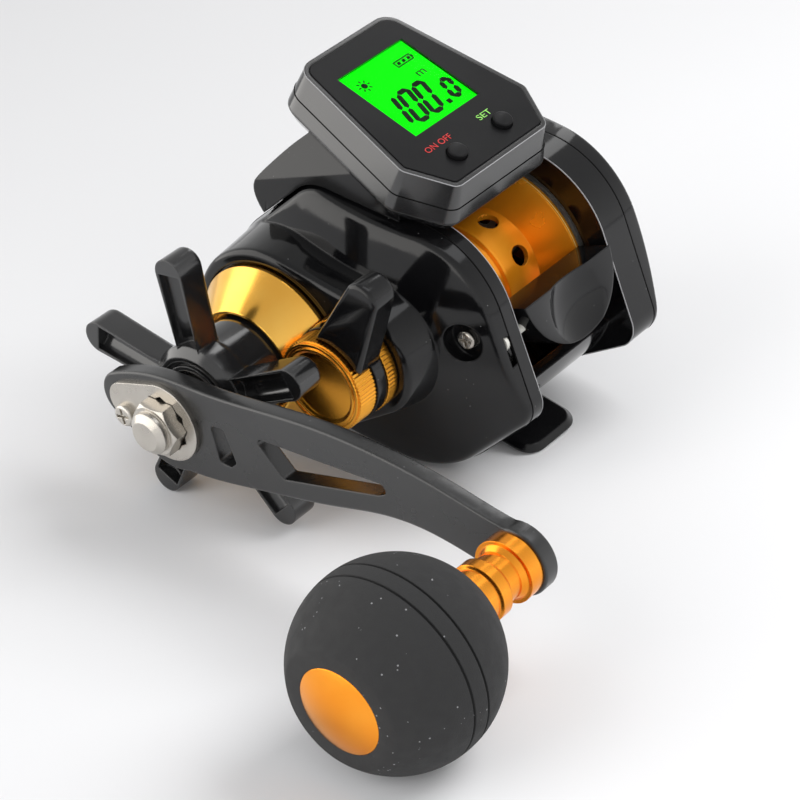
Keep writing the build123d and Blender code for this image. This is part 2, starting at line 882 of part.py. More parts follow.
def makeStar():
    bore = driveShaftRadius + runningFit
    mid = starHubIn + starRecess
    profile = [
        (starIn, starSpringRadius + freeGap), (starIn, starSkirtRadius), (starHubIn, starSkirtRadius),
        (starHubIn - starRecess, starHubRadius), (starFront + starRecess, starHubRadius),
        (starFront, starHubRadius - starRecess), (starFront, starHubRadius - 1.6 * starRecess),
        (starFront + starRecess / 2, starHubRadius - 1.6 * starRecess),
        (starFront + starRecess / 2, starHubRadius - 2.2 * starRecess),
        (starFront, starHubRadius - 2.2 * starRecess), (starFront, starHubRadius - 2.8 * starRecess),
        (starFront + starRecess, starHubRadius - 2.8 * starRecess), (starFront + starRecess, bore),
        (mid, bore), (mid, starSpringRadius + freeGap),
    ]
    star = turned(profile, driveY, driveZ)
    for k in range(starArms):
        star += starArm(k) - rod(starIn, handleIn, starHubRadius - 2 * starRecess, driveY, driveZ)
    return star


def makeStarSprings():
    # Two cupped washers back to back between the star and the clutch sleeve.
    x = starHubIn + starRecess + runningFit
    depth = washerThickness
    cup = [(x, driveShaftRadius + runningFit), (x + depth, driveShaftRadius + runningFit),
           (x + 2 * depth, starSpringRadius), (x + depth, starSpringRadius)]
    other = [(2 * x + 4 * depth - a, r) for a, r in cup]
    return [turned(cup, driveY, driveZ), turned(other, driveY, driveZ)]


def makeHandleSpacer():
    return tube(starFront + starRecess - freeGap, handleIn, sleeveRadius, driveShaftRadius, driveY, driveZ)


def crankPlace(x):
    # Local plane on the handle: first axis along the crank, second axis upwards across it.
    along = Vector(0, cos(radians(crankAngle)), sin(radians(crankAngle)))
    return Plane(origin=(x, driveY, driveZ), x_dir=along, z_dir=(-1, 0, 0))


handleTopShares = ((-0.13, 0.088), (0.0, 0.117), (0.13, 0.119), (0.28, 0.13), (0.45, 0.144),
                   (0.58, 0.143), (0.72, 0.13), (0.82, 0.113), (0.9, 0.095))
handleLowShares = ((0.84, -0.026), (0.74, -0.014), (0.63, -0.022), (0.5, -0.052), (0.4, -0.073),
                   (0.25, -0.1), (0.12, -0.121))
slotOneShares = ((0.137, 0.036), (0.178, 0.04), (0.206, -0.045), (0.186, -0.062), (0.153, -0.06),
                 (0.146, -0.01))
slotTwoShares = ((0.27, 0.052), (0.645, 0.066), (0.66, 0.045), (0.63, 0.03), (0.35, -0.034))


def crankPoints(shares):
    return [(u * crankLength, w * crankLength) for u, w in shares]


def around(centre, radius, degrees):
    return centre + radius * cos(radians(degrees)), radius * sin(radians(degrees))


def handleOutline():
    noseUp = handleNoseRadius / 4
    noseTop = (-handleNoseForward - handleNoseRadius * 0.6, noseUp + handleNoseRadius * 0.8)
    noseTip = (-handleNoseForward - handleNoseRadius, noseUp)
    noseLow = (-handleNoseForward - handleNoseRadius * 0.6, noseUp - handleNoseRadius * 0.8)
    endTop, endLow = around(crankLength, handleEndRadius, 105), around(crankLength, handleEndRadius, -145)
    bigBack, bigFront = around(0, handleBigRadius, -70), around(0, handleBigRadius, -135)
    return make_face([
        Spline(noseTop, *crankPoints(handleTopShares), endTop),
        ThreePointArc(endTop, around(crankLength, handleEndRadius, -20), endLow),
        Spline(endLow, *crankPoints(handleLowShares), bigBack),
        ThreePointArc(bigBack, around(0, handleBigRadius, -100), bigFront),
        Line(bigFront, noseLow), ThreePointArc(noseLow, noseTip, noseTop),
    ])


def makeHandle():
    handle = extrude(crankPlace(handleIn) * handleOutline(), amount=handleThickness)
    handle = fillet(outerEdges(handle), handleBevel)
    for shares in (slotOneShares, slotTwoShares):
        slot = make_face(Polyline(*crankPoints(shares), close=True))
        slot = fillet(slot.vertices(), handleSlotRound)
        handle -= extrude(crankPlace(handleIn + overrun) * slot, amount=handleThickness + 2 * overrun)
    handle -= rod(handleIn + overrun, handleOut - overrun, driveShaftRadius, driveY, driveZ)
    handle -= rod(handleIn + overrun, handleOut - overrun, spindlePinRadius, *knobPlace())
    return handle - rod(handleIn + overrun, handleOut - overrun, lockScrewShank, *lockScrewPlace())


def outerEdges(plate):
    return plate.edges().group_by(Axis.X)[0] + plate.edges().group_by(Axis.X)[-1]


def knobPlace():
    return (driveY + crankLength * cos(radians(crankAngle)), driveZ + crankLength * sin(radians(crankAngle)))


def lockScrewPlace():
    angle = radians(crankAngle - lockTilt)
    return driveY - lockTipForward * cos(angle), driveZ - lockTipForward * sin(angle)


def makeLockPlate():
    outline = make_hull([Circle(lockRoundRadius).edge(), (Pos(-lockTipForward, 0) * Circle(lockTipRadius)).edge()])
    star = RegularPolygon(nutFlats / 2 + partGap, 6, major_radius=False)
    outline = Rot(0, 0, -lockTilt) * outline - (star + Rot(0, 0, 30) * star)
    plate = extrude(crankPlace(handleOut) * outline, amount=lockPlateThickness)
    plate -= rod(handleOut + overrun, handleOut - 2 * lockPlateThickness, lockScrewShank, *lockScrewPlace())
    return plate


def makeLockScrew():
    y, z = lockScrewPlace()
    turnedScrew = screw(lockScrewHead, lockScrewShank - runningFit, handleThickness / 2 + lockPlateThickness)
    return onHandleSide(Rot(0, 0, 25) * turnedScrew, handleOut - lockPlateThickness, y, z)


def makeHandleNut():
    hexagon = RegularPolygon(nutFlats / 2, 6, major_radius=False)
    nut = extrude(crankPlace(handleOut) * hexagon, amount=nutHeight)
    cone = turned([(handleOut, 0), (handleOut, nutFlats * 0.6), (handleOut - nutHeight + nutFlats / 12, nutFlats * 0.6),
                   (handleOut - nutHeight, nutFlats * 0.5), (handleOut - nutHeight, 0)], driveY, driveZ)
    nut = nut & cone
    top = handleOut - nutHeight
    dome = turned([(top, 0), (top, nutDomeRadius), (top - nutDomeHeight / 2, nutDomeRadius),
                   (top - nutDomeHeight, nutDomeRadius * 0.7), (top - nutDomeHeight, 0)], driveY, driveZ)
    nut += dome
    return nut - rod(handleOut + overrun, handleOut - nutHeight, driveShaftRadius, driveY, driveZ)


# Knob on its spindle

def knobStart():
    return knobCentre + knobRadius * knobInnerShare


def knobEnd():
    return knobCentre - knobRadius * knobFaceShare


def makeSpindlePin():
    end = knobEnd() + knobCapDome
    return rod(handleIn, end, spindlePinRadius, *knobPlace())


def makeSpindleCollar():
    start = handleOut
    step = spindleFlangeLength
    end = knobStart() + partGap
    lip = spindleFlangeRadius
    neck = spindleNeckRadius
    profile = [
        (start, spindlePinRadius), (start, lip), (start - step, lip), (start - step, neck + (lip - neck) / 2),
        (start - 1.3 * step, neck), (start - 2.2 * step, neck), (start - 2.5 * step, lip * 0.92),
        (start - 3.2 * step, lip * 0.92), (start - 3.3 * step, neck * 1.08), (end, neck * 1.08),
        (end, spindlePinRadius),
    ]
    return turned(profile, *knobPlace())


def makeKnobBearings():
    bearings = []
    for x in (knobStart() - partGap, knobEnd() + knobCapDome + knobBearingLength + freeGap):
        ring = tube(x, x - knobBearingLength, knobBearingRadius, spindlePinRadius + runningFit, *knobPlace())
        bearings.append(ring)
    return bearings


def makeKnobCore():
    core = rod(knobStart(), knobEnd() + knobCapDome / 2, knobCoreRadius, *knobPlace())
    reach = knobEnd() - overrun
    core -= rod(knobStart() + overrun, reach, spindlePinRadius + freeGap, *knobPlace())
    for x in (knobStart() - partGap, knobEnd() + knobCapDome + knobBearingLength + freeGap):
        core -= rod(x + partGap, x - knobBearingLength - partGap, knobBearingRadius, *knobPlace())
    front = knobEnd() + knobCapDome
    return core - rod(front, reach, knobBearingRadius, *knobPlace())


def makeKnobGrip():
    # Ball with two flats, two thin grooves and a seat for the cap, as one turned outline.
    def onBall(share):
        return knobCentre + share * knobRadius, knobRadius * sqrt(1 - share ** 2)

    halfShare = knobGrooveWidth / (2 * knobRadius)
    edges = []
    share = knobInnerShare
    for groove in sorted(knobGrooveShares, reverse=True) + [None]:
        endShare = -knobFaceShare if groove is None else groove + halfShare
        edges.append(ThreePointArc(onBall(share), onBall((share + endShare) / 2), onBall(endShare)))
        if groove is not None:
            high, low = onBall(groove + halfShare), onBall(groove - halfShare)
            edges.append(Polyline(high, (high[0], high[1] - knobGrooveDepth), (low[0], low[1] - knobGrooveDepth), low))
            share = groove - halfShare
    seat = knobEnd() + knobCapDome / 2
    face, first = onBall(-knobFaceShare), onBall(knobInnerShare)
    edges.append(Polyline(face, (knobEnd(), knobCapRadius + runningFit), (seat, knobCapRadius + runningFit),
                          (seat, knobCoreRadius), (knobStart(), knobCoreRadius), first))
    grip = revolve(make_face(edges), Axis.X)
    return Pos(0, *knobPlace()) * grip


def makeKnobCap():
    start = knobEnd() + knobCapDome / 2
    edge = knobEnd() - runningFit
    top = edge - knobCapDome
    ball = (knobCapRadius ** 2 + knobCapDome ** 2) / (2 * knobCapDome)
    sag = ball - sqrt(ball ** 2 - (knobCapRadius / 2) ** 2)
    dome = ThreePointArc((edge, knobCapRadius), (top + sag, knobCapRadius / 2), (top, 0))
    sides = Polyline((top, 0), (start, 0), (start, knobCapRadius), (edge, knobCapRadius))
    return Pos(0, *knobPlace()) * revolve(make_face([dome, sides]), Axis.X)


# Cast control group on the spool axis

def makeSkirt():
    return knurled(skirtRadius, skirtIn, skirtOut) - rod(skirtIn + overrun, skirtOut - overrun, spigotRadius)


def makeLever():
    ring = tube(leverIn, leverRingOut, leverRingRadius, spigotRadius + runningFit)
    root, tip = leverRootWidth / 2, leverTipWidth / 2
    outline = make_hull([(Pos(leverRingRadius - root / 2, 0) * Circle(root)).edge(),
                         (Pos(leverReach - tip, 0) * Circle(tip)).edge()])
    paddle = extrude(Plane.YZ.offset(leverIn - leverThickness) * outline, amount=leverThickness)
    paddle = fillet(outerEdges(paddle), leverRound)
    paddle -= rod(leverRingOut, capOut - overrun, capRadius + freeGap)
    paddle -= rod(leverIn + overrun, leverRingOut - overrun, spigotRadius + runningFit)
    paddle = Rot(leverAngle, 0, 0) * paddle
    return ring + paddle


def makeTensionKnob():
    cap = knurled(capRadius, capIn, capOut + capDish)
    cap += rod(capOut + capDish, capOut, capRadius - 2 * knurlDepth)
    cap -= turned([(capOut - overrun, 0), (capOut - overrun, capRadius * 0.8), (capOut, capRadius * 0.8),
                   (capOut + capDish, capRadius * 0.74), (capOut + capDish, 0)])
    cap -= tube(capOut - overrun, capOut + capDish / 2, capRadius * 0.9, capRadius * 0.85)
    cap -= rod(capIn + overrun, capOut + capFaceThickness, spigotRadius + runningFit)
    return cap


# Palm side pieces

def makeBrakeDial():
    x = dialSeat() + partGap
    dial = knurled(dialRadius, x, x + dialHeight)
    dial = dial - tube(x + dialHeight - capDish, x + dialHeight + overrun, dialRadius * 0.8, dialRadius * 0.74)
    grip = block(x + dialHeight - overrun, x + dialHeight + capFaceThickness,
                 -screwHead, screwHead, -dialRadius * 0.62, dialRadius * 0.62)
    grip = fillet(grip.edges().filter_by(Axis.X), screwHead / 2)
    return dial + grip + rod(x + partGap, bossIn() + smallBearingLength + freeGap * 2, dialStemRadius)


def carrierOut():
    return farOut - freeGap


def makeMagnetCarrier():
    x = carrierOut()
    bore = smallBearingRadius + palmWall + partGap
    disc = tube(x - carrierThickness, x, carrierRadius, bore)
    for k in range(magnetCount):
        disc -= brakeMagnet(k, runningFit)
    return disc


def brakeMagnet(k, extra=0):
    angle = 2 * pi * k / magnetCount
    y, z = magnetCircle * cos(angle), magnetCircle * sin(angle)
    x = carrierOut() - carrierThickness
    return rod(x, x + magnetThickness, magnetRadius + extra, y, z)


def makeShaftBearing(x0, x1):
    return tube(x0, x1, smallBearingRadius, shaftRadius + runningFit / 2)


# Thumb bar and the cam that it pushes

def barPlane():
    # Origin at the middle of the bar's top edge, second axis down the slope, inward normal.
    down = Vector(0, -cos(radians(barSlope)), -sin(radians(barSlope)))
    middle = (nearIn + farIn) / 2
    return Plane(origin=(middle, -barTopBack, barTopUp), x_dir=(1, 0, 0),
                 z_dir=Vector(1, 0, 0).cross(down))


def makeThumbBar():
    half = barWidth / 2
    edge = Polyline((half, 0), (-half, 0))
    curve = ThreePointArc((-half, 0), (0, barDepth), (half, 0))
    face = make_face([edge, curve])
    plane = barPlane()
    bar = extrude(plane * face, amount=barThickness)
    centre = plane.origin - plane.z_dir * (scoopRadius - scoopDepth) + plane.y_dir * (barDepth * 0.45)
    bar -= Pos(*centre) * Sphere(scoopRadius)
    bar -= rod(nearIn, farIn, flangeRadius + spoolClearance)
    y, z = linkStart()
    return bar - rod(nearIn, nearIn + plateGap + barSideGap + barLinkInsert, barLinkRadius, y, z)


def barDown():
    return (0, -cos(radians(barSlope)), -sin(radians(barSlope)))


def linkStart():
    down = barDown()
    y = -barTopBack + down[1] * barDepth * 0.35
    z = barTopUp + down[2] * barDepth * 0.35
    return y + sin(radians(barSlope)) * barLinkDepth, z - cos(radians(barSlope)) * barLinkDepth


def linkSlot():
    y, z = linkStart()
    down = barDown()
    radius = barLinkRadius + partGap
    ends = [(y, z, radius), (y + down[1] * barTravel, z + down[2] * barTravel, radius)]
    return hullPlate(ends, nearOut - overrun, nearIn + overrun)


def camLegs():
    # Two legs of the cam plate, bent round the rear cover screw.
    y, z = linkStart()
    knee = (y + camReach / 5, z - camDrop, barLinkRadius * 1.6)
    return [[(y, z, barLinkRadius * 2), knee], [knee, (y + camReach, z - camDrop, barLinkRadius * 1.8)]]


def makeClutchCam():
    y, z = linkStart()
    x = nearOut - freeGap
    cam = rod(x - camThickness, nearIn + plateGap + barSideGap + barLinkInsert, barLinkRadius, y, z)
    for leg in camLegs():
        cam += hullPlate(leg, x - camThickness, x)
    return cam


# Line guide

def makePipe():
    pipe = tube(nearOut + plateThickness / 3, farIn + pipeSeat,
                pipeRadius, pipeRadius - pipeWall, wormY, wormZ)
    reach = carriageTravel + carriageWidth / 2
    slot = block(spoolOffset - reach, spoolOffset + reach, wormY - pawlRadius - partGap, wormY + pawlRadius + partGap,
                 wormZ - pipeRadius - overrun, wormZ)
    return pipe - slot


def makeGuideRod():
    y, z = wormY + guideRodForward, wormZ - guideRodDrop
    return rod(nearIn - plateThickness / 2 + partGap, farIn + plateThickness / 2 - partGap,
               guideRodRadius, y, z)


def makeCarriage():
    x0, x1 = spoolOffset - carriageWidth / 2, spoolOffset + carriageWidth / 2
    eye = (wormY + eyeForward, wormZ + eyeUp)
    lug = (wormY + guideRodForward, wormZ - guideRodDrop, guideRodRadius * 2)
    body = hullPlate([(wormY, wormZ, carriageRadius), lug], x0, x1)
    neck = block(x0 + carriageWidth / 4, x1 - carriageWidth / 4, wormY, eye[0] + eyeLength / 2,
                 wormZ + eyeUp - eyeRadius, wormZ + carriageRadius * 0.7)
    ring = Pos(spoolOffset, eye[0], eye[1]) * Rot(90, 0, 0) * Cylinder(eyeRadius + eyeLength / 2, eyeLength)
    bore = Pos(spoolOffset, eye[0], eye[1]) * Rot(90, 0, 0) * Cylinder(eyeRadius, 6 * eyeLength)
    body = body + neck + ring
    body -= Pos(0, eyeLength * 1.5, 0) * bore
    body -= rod(x0 - overrun, x1 + overrun, pipeRadius + runningFit, wormY, wormZ)
    body -= rod(x0 - overrun, x1 + overrun, guideRodRadius + runningFit, lug[0], lug[1])
    pawlSeat = Pos(spoolOffset, wormY, wormZ - carriageRadius) * Cylinder(pawlRadius, 2 * carriageRadius)
    return body - pawlSeat


def makeEye():
    y, z = wormY + eyeForward, wormZ + eyeUp
    ring = Cylinder(eyeRadius, eyeLength) - Cylinder(eyeBore, 2 * eyeLength)
    ring = fillet(ring.edges().filter_by(GeomType.CIRCLE), (eyeRadius - eyeBore) * 0.3)
    return Pos(spoolOffset, y, z) * Rot(90, 0, 0) * ring


def makePawl():
    low = wormZ - carriageRadius
    top = wormZ - wormRadius - runningFit
    middle = (low + top) / 2
    return Pos(spoolOffset, wormY, middle) * Cylinder(pawlRadius - runningFit, top - low)


# Front hood

def makeHood():
    c, s = cos(radians(displayTilt)), sin(radians(displayTilt))
    under = caseHeight + baseHeight + runningFit
    def underDisplay(forward):
        along = (forward - displayForward - under * s) / c
        return displayUp - under * c + along * s
    top = (hoodTopForward, underDisplay(hoodTopForward))
    rear = (hoodTopBack, underDisplay(hoodTopBack))
    front = (hoodFrontForward, hoodFrontUp)
    lip = (hoodLipForward, hoodLipUp)
    bore = flangeRadius + spoolClearance + freeGap
    outer = Spline(lip, (hoodFrontForward - hoodShell / 3, hoodLipUp + hoodShell * 0.7), front,
                   (hoodFrontForward - hoodShell * 0.5, hoodFrontUp + hoodShell * 1.6),
                   (hoodTopForward + hoodShell * 1.4, (top[1] + front[1]) / 2 + hoodShell * 0.8), top)
    a = radians(85)
    b = radians(45)
    innerRear = (bore * cos(a), bore * sin(a))
    innerFront = (bore * cos(b), bore * sin(b))
    mid = (bore * cos((a + b) / 2), bore * sin((a + b) / 2))
    shelf = (wormY + carriageRadius * 0.6, wormZ + carriageRadius + hoodShell)
    corner = (hoodFrontForward - hoodShell, hoodFrontUp - hoodShell * 0.3)
    edges = [outer, Line(top, rear), Line(rear, innerRear), ThreePointArc(innerRear, mid, innerFront),
             Polyline(innerFront, shelf, corner, lip)]
    low = nearOut - hoodSide
    high = farOut - farPlateThickness / 3
    hood = extrude(Plane.YZ.offset(low) * make_face(edges), amount=high - low)
    for x0, x1 in ((low, nearIn), (farIn, high)):
        hood += hullPlate(hoodCheek(), x0, x1)
    hood -= hullPlate(grown(nearOutline, partGap), low - overrun, nearIn + partGap)
    hood -= hullPlate(grown(farOutline, partGap), farIn - partGap, high + overrun)
    return hood - hoodShoulder(low)


def hoodCheek():
    # Side wall that carries the hood down to the side plate.
    low = (hoodLipForward - hoodShell, hoodLipUp - hoodCheekDrop, hoodShell / 2)
    return [low, (hoodLipForward - hoodShell, hoodLipUp + hoodShell, hoodShell)]


def hoodShoulder(low):
    # Everything beyond the sloping shoulder on the handle side.
    lean, turn = radians(hoodShoulderLean), radians(hoodShoulderTurn)
    away = Vector(-cos(lean), sin(lean) * cos(turn), sin(lean) * sin(turn))
    size = 2 * (hoodFrontForward + displayUp)
    corner = Vector(low, hoodFrontForward, hoodShoulderUp)
    return Plane(origin=corner + away * (size / 2), z_dir=away) * Box(size, size, size)


# Display unit, in its own frame

def onDisplay(shape):
    return Pos(0, displayForward, displayUp) * Rot(displayTilt, 0, 0) * shape


def faceOutline(shrink=0):
    points = [(faceFrontHalf, faceFront), (faceWaistHalf, -faceWaist), (faceRearHalf, -faceRear),
              (-faceRearHalf, -faceRear), (-faceWaistHalf, -faceWaist), (-faceFrontHalf, faceFront)]
    outline = make_face(Polyline(*points, close=True))
    front = outline.vertices().group_by(Axis.Y)[-1]
    outline = fillet(front, faceCorner)
    waist = outline.vertices().group_by(Axis.Y)[1] + outline.vertices().group_by(Axis.Y)[0]
    outline = fillet(waist, faceWaistCorner)
    return offset(outline, -shrink, kind=Kind.ARC) if shrink else outline


def caseSolid(grow, height, draft, floor):
    # Solid that is grow larger than the face at its floor and shrinks upwards by the draft.
    outline = offset(faceOutline(), grow, kind=Kind.ARC)
    return extrude(Pos(0, 0, floor) * outline, amount=height, taper=draft)


def makeTopCase():
    spread = caseHeight * tan(radians(caseDraft)) + caseInset
    case = caseSolid(spread, caseHeight - partGap, caseDraft, -caseHeight)
    room = caseSolid(spread - caseWall, caseHeight - bezelThickness - caseWall * 0.6, caseDraft, -caseHeight)
    case -= room
    case -= extrude(Pos(0, 0, -bezelThickness) * faceOutline(), amount=2 * bezelThickness)
    window = Pos(0, 0, -caseHeight / 2) * Box(lcdWidth + 2 * partGap, lcdHeight + 2 * partGap, caseHeight)
    case -= window
    for side in (-1, 1):
        hole = Pos(side * buttonSpread, -buttonBack, -caseHeight / 2)
        case -= hole * Cylinder(buttonRadius + buttonFlange + freeGap, caseHeight)
    return case


def makeBezel():
    plate = extrude(Pos(0, 0, -bezelThickness + runningFit) * faceOutline(partGap), amount=bezelThickness)
    plate -= Box(lcdWidth, lcdHeight, 4 * bezelThickness)
    for side in (-1, 1):
        plate -= Pos(side * buttonSpread, -buttonBack, 0) * Cylinder(buttonRadius + partGap, 4 * bezelThickness)
    return plate


def makeWindow():
    window = Pos(0, 0, -windowThickness / 2) * Box(lcdWidth - partGap, lcdHeight - partGap, windowThickness)
    return window


def makeLcd():
    middle = -windowThickness - lcdThickness / 2
    return Pos(0, 0, middle) * Box(lcdWidth - partGap, lcdHeight - partGap, lcdThickness)


def boardTop():
    return -boardDepth + boardThickness


def makeBoard():
    outline = faceOutline(caseWall + caseInset)
    board = extrude(Pos(0, 0, -boardDepth) * outline, amount=boardThickness)
    for side in (-1, 1):
        switch = Pos(side * buttonSpread, -buttonBack, boardTop() + switchHeight() / 2)
        board += switch * Box(buttonRadius * 1.6, buttonRadius * 1.6, switchHeight())
    for x, y in caseScrewSpots():
        board -= Pos(x, y, -boardDepth) * Cylinder(screwHead, 4 * boardThickness)
    return board


def switchHeight():
    low = -bezelThickness - buttonFlangeThickness - buttonTravel - partGap
    return low - boardTop()


def makeButton(side):
    top = buttonStand
    low = -bezelThickness - partGap / 2
    stem = Pos(0, 0, (top + low) / 2) * Cylinder(buttonRadius, top - low)
    stem = fillet(stem.edges().group_by(Axis.Z)[-1], buttonStand / 4)
    flange = Pos(0, 0, low - buttonFlangeThickness / 2) * Cylinder(buttonRadius + buttonFlange, buttonFlangeThickness)
    return Pos(side * buttonSpread, -buttonBack, 0) * (stem + flange)


def makeCell():
    top = -boardDepth - freeGap
    return Pos(0, 0, top - cellThickness / 2) * Cylinder(cellRadius, cellThickness)


def caseScrewSpots():
    x = faceFrontHalf - screwHead * 1.6
    return [(x, faceFront - screwHead * 2.2), (-x, faceFront - screwHead * 2.2)]


def makeBaseCase():
    spread = caseHeight * tan(radians(caseDraft)) + caseInset
    outline = offset(faceOutline(), spread, kind=Kind.ARC)
    base = extrude(Pos(0, 0, -caseHeight - partGap) * outline, amount=-(baseHeight - partGap), taper=3 * caseDraft)
    for x, y in caseScrewSpots():
        top = -boardDepth - partGap
        base += Pos(x, y, (top - caseHeight - baseHeight / 2) / 2) * \
            Cylinder(screwHead, top + caseHeight + baseHeight / 2)
        base -= Pos(x, y, -caseHeight) * Cylinder(screwShank, 4 * caseHeight)
        base -= Pos(x, y, -caseHeight - baseHeight) * Cylinder(screwHead * 0.8 + partGap, 2 * screwHeadThickness)
    return base


def makeCaseScrews():
    made = []
    for x, y in caseScrewSpots():
        low = -caseHeight - baseHeight
        length = screwLength
        one = Rot(180, 0, 0) * screw(screwHead * 0.8, screwShank - runningFit, length)
        made.append(Pos(x, y, low + screwHeadThickness) * one)
    return made


def sensorPocket(extra=0):
    depth = plateThickness / 2
    z = (arborRadius + flangeRadius) / 2
    half = screwHead
    return block(nearIn - depth - extra, nearIn + overrun * bool(extra), -half - extra, half + extra,
                 z - half / 2 - extra, z + half / 2 + extra)


# Screws

def makeCoverScrews():
    turnedScrew = Rot(0, 0, 20) * screw(screwHead, screwShank, screwLength)
    made = [onHandleSide(turnedScrew, coverScrewSeat(), *coverScrewSpot())]
    for y, z in innerScrewSpots():
        made.append(onPalmSide(screw(screwHead, screwShank, screwLength), innerScrewSeat(), y, z))
    return made


def makePalmScrews():
    made = []
    for y, z in palmScrewSpots():
        made.append(onPalmSide(screw(screwHead, screwShank, screwLength), farOut + palmWall, y, z))
    return made


def makeFootScrews():
    made = []
    for y_x in footScrewSpots():
        body = Pos(y_x[0], y_x[1], -axisHeight + footSink)
        made.append(body * Rot(180, 0, 0) * screw(footScrewRadius * 1.4, screwShank, bridgeThickness))
    return made


# All pieces, drawn about the spool axis

def bearingSet():
    return [makeDriveBearing(),
            tube(pinionBearingIn(), pinionBearingOut(), smallBearingRadius, pinionNeckRadius + runningFit),
            makeShaftBearing(shaftEnd(), shaftEnd() + smallBearingLength),
            makeShaftBearing(bossIn(), bossIn() + smallBearingLength)]


def makeAll():
    keep("frame", makeFrame())
    keep("reel_foot", makeFoot())
    keep("foot_screws", makeFootScrews())
    keep("handle_side_cover", makeNearCover())
    keep("cover_screws", makeCoverScrews() + makePalmScrews())
    keep("palm_side_cover", makePalmCover())
    keep("ball_bearings", bearingSet())
    keep("spool", makeSpool())
    keep("spool_shaft", makeSpoolShaft())
    keep("count_magnets", [countMagnet(-1), countMagnet(1)])
    keep("count_sensor", sensorPocket())
    keep("pinion", makePinion())
    keep("clutch_yoke", makeYoke())
    keep("yoke_springs", makeYokeSprings())
    keep("clutch_cam", makeClutchCam())
    keep("thumb_bar", makeThumbBar())
    keep("drive_shaft", makeDriveShaft())
    keep("drive_gear", makeDriveGear())
    keep("drag_washers", makeDragWashers())
    keep("wind_drive_gear", makeWindGear())
    keep("worm_gear", makeWormGear())
    keep("worm_shaft", makeWormShaft())
    keep("clutch_sleeve", makeSleeve())
    keep("one_way_bearing", makeClutchBearing())
    keep("drag_collar", makeCollar())
    keep("star_drag", makeStar())
    keep("star_springs", makeStarSprings())
    keep("handle_spacer", makeHandleSpacer())
    keep("handle_arm", makeHandle())
    keep("lock_plate", makeLockPlate())
    keep("lock_screw", makeLockScrew())
    keep("handle_nut", makeHandleNut())
    keep("spindle_pin", makeSpindlePin())
    keep("spindle_collar", makeSpindleCollar())
    keep("knob_bearings", makeKnobBearings())
    keep("knob_core", makeKnobCore())
    keep("knob_grip", makeKnobGrip())
    keep("knob_cap", makeKnobCap())
    keep("tension_skirt", makeSkirt())
    keep("fall_lever", makeLever())
    keep("tension_knob", makeTensionKnob())
    keep("guide_pipe", makePipe())
    keep("guide_rod", makeGuideRod())
    keep("line_carriage", makeCarriage())
    keep("line_eye", makeEye())
    keep("guide_pawl", makePawl())
    keep("front_hood", makeHood())
    keep("counter_case", onDisplay(makeTopCase()))
    keep("counter_base", onDisplay(makeBaseCase()))
    keep("counter_bezel", onDisplay(makeBezel()))
    keep("counter_window", onDisplay(makeWindow()))
    keep("lcd_panel", onDisplay(makeLcd()))
    keep("counter_board", onDisplay(makeBoard()))
    keep("battery_cell", onDisplay(makeCell()))
    keep("power_button", onDisplay(makeButton(-1)))
    keep("set_button", onDisplay(makeButton(1)))
    keep("case_screws", [onDisplay(one) for one in makeCaseScrews()])
    keep("brake_dial", makeBrakeDial())
    keep("magnet_carrier", makeMagnetCarrier())
    keep("brake_magnets", [brakeMagnet(k) for k in range(magnetCount)])


def writeAll():
    os.makedirs("parts", exist_ok=True)
    for name, shape in pieces.items():
        solids = []
        for one in shape if isinstance(shape, list) else [shape]:
            solids += (Pos(0, 0, axisHeight) * one).solids()
        export_step(solids[0] if len(solids) == 1 else Compound(children=solids), f"parts/{name}.step")


makeAll()
writeAll()
print("pieces", len(pieces))
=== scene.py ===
import bpy
import bmesh
import json
from math import cos, hypot, pi, radians, sin, tan
from mathutils import Matrix, Vector


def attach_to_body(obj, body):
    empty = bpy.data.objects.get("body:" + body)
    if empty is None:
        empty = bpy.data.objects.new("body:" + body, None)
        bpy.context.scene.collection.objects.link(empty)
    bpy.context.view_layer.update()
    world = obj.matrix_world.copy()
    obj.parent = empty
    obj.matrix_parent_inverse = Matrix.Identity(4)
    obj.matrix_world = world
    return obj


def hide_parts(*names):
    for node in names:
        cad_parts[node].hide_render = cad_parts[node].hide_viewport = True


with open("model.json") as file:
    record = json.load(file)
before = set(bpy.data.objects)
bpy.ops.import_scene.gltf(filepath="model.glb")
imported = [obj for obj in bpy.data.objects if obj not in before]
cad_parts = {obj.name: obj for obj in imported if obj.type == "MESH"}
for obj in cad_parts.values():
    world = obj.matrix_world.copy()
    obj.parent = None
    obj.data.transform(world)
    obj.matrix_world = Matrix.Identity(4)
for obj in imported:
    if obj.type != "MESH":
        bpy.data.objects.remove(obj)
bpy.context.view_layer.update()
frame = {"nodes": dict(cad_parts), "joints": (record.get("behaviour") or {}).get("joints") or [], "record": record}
nodes = frame["nodes"]
joints = {joint["name"]: joint for joint in frame["joints"]}
bodyOf = {node: body for body, members in frame["record"]["behaviour"]["bodies"].items() for node in members}
slotOf = {part["node"]: part["material_slot"] for part in frame["record"]["subparts"]}
mm = 0.001
print("frame loaded", len(nodes), "nodes")


def addObject(name, data):
    obj = bpy.data.objects.new(name, data)
    bpy.context.scene.collection.objects.link(obj)
    return obj


def circleAngles(count):
    return [2 * pi * k / count for k in range(count)]


# Camera, fitted to the photograph, in metres

cameraView = {"place": (-0.3605, -0.2378, 0.3888), "forward": (0.6095, 0.4161, -0.6748),
              "right": (0.6307, -0.7702, 0.0946), "lens": 130.57, "sensor": 36.0}


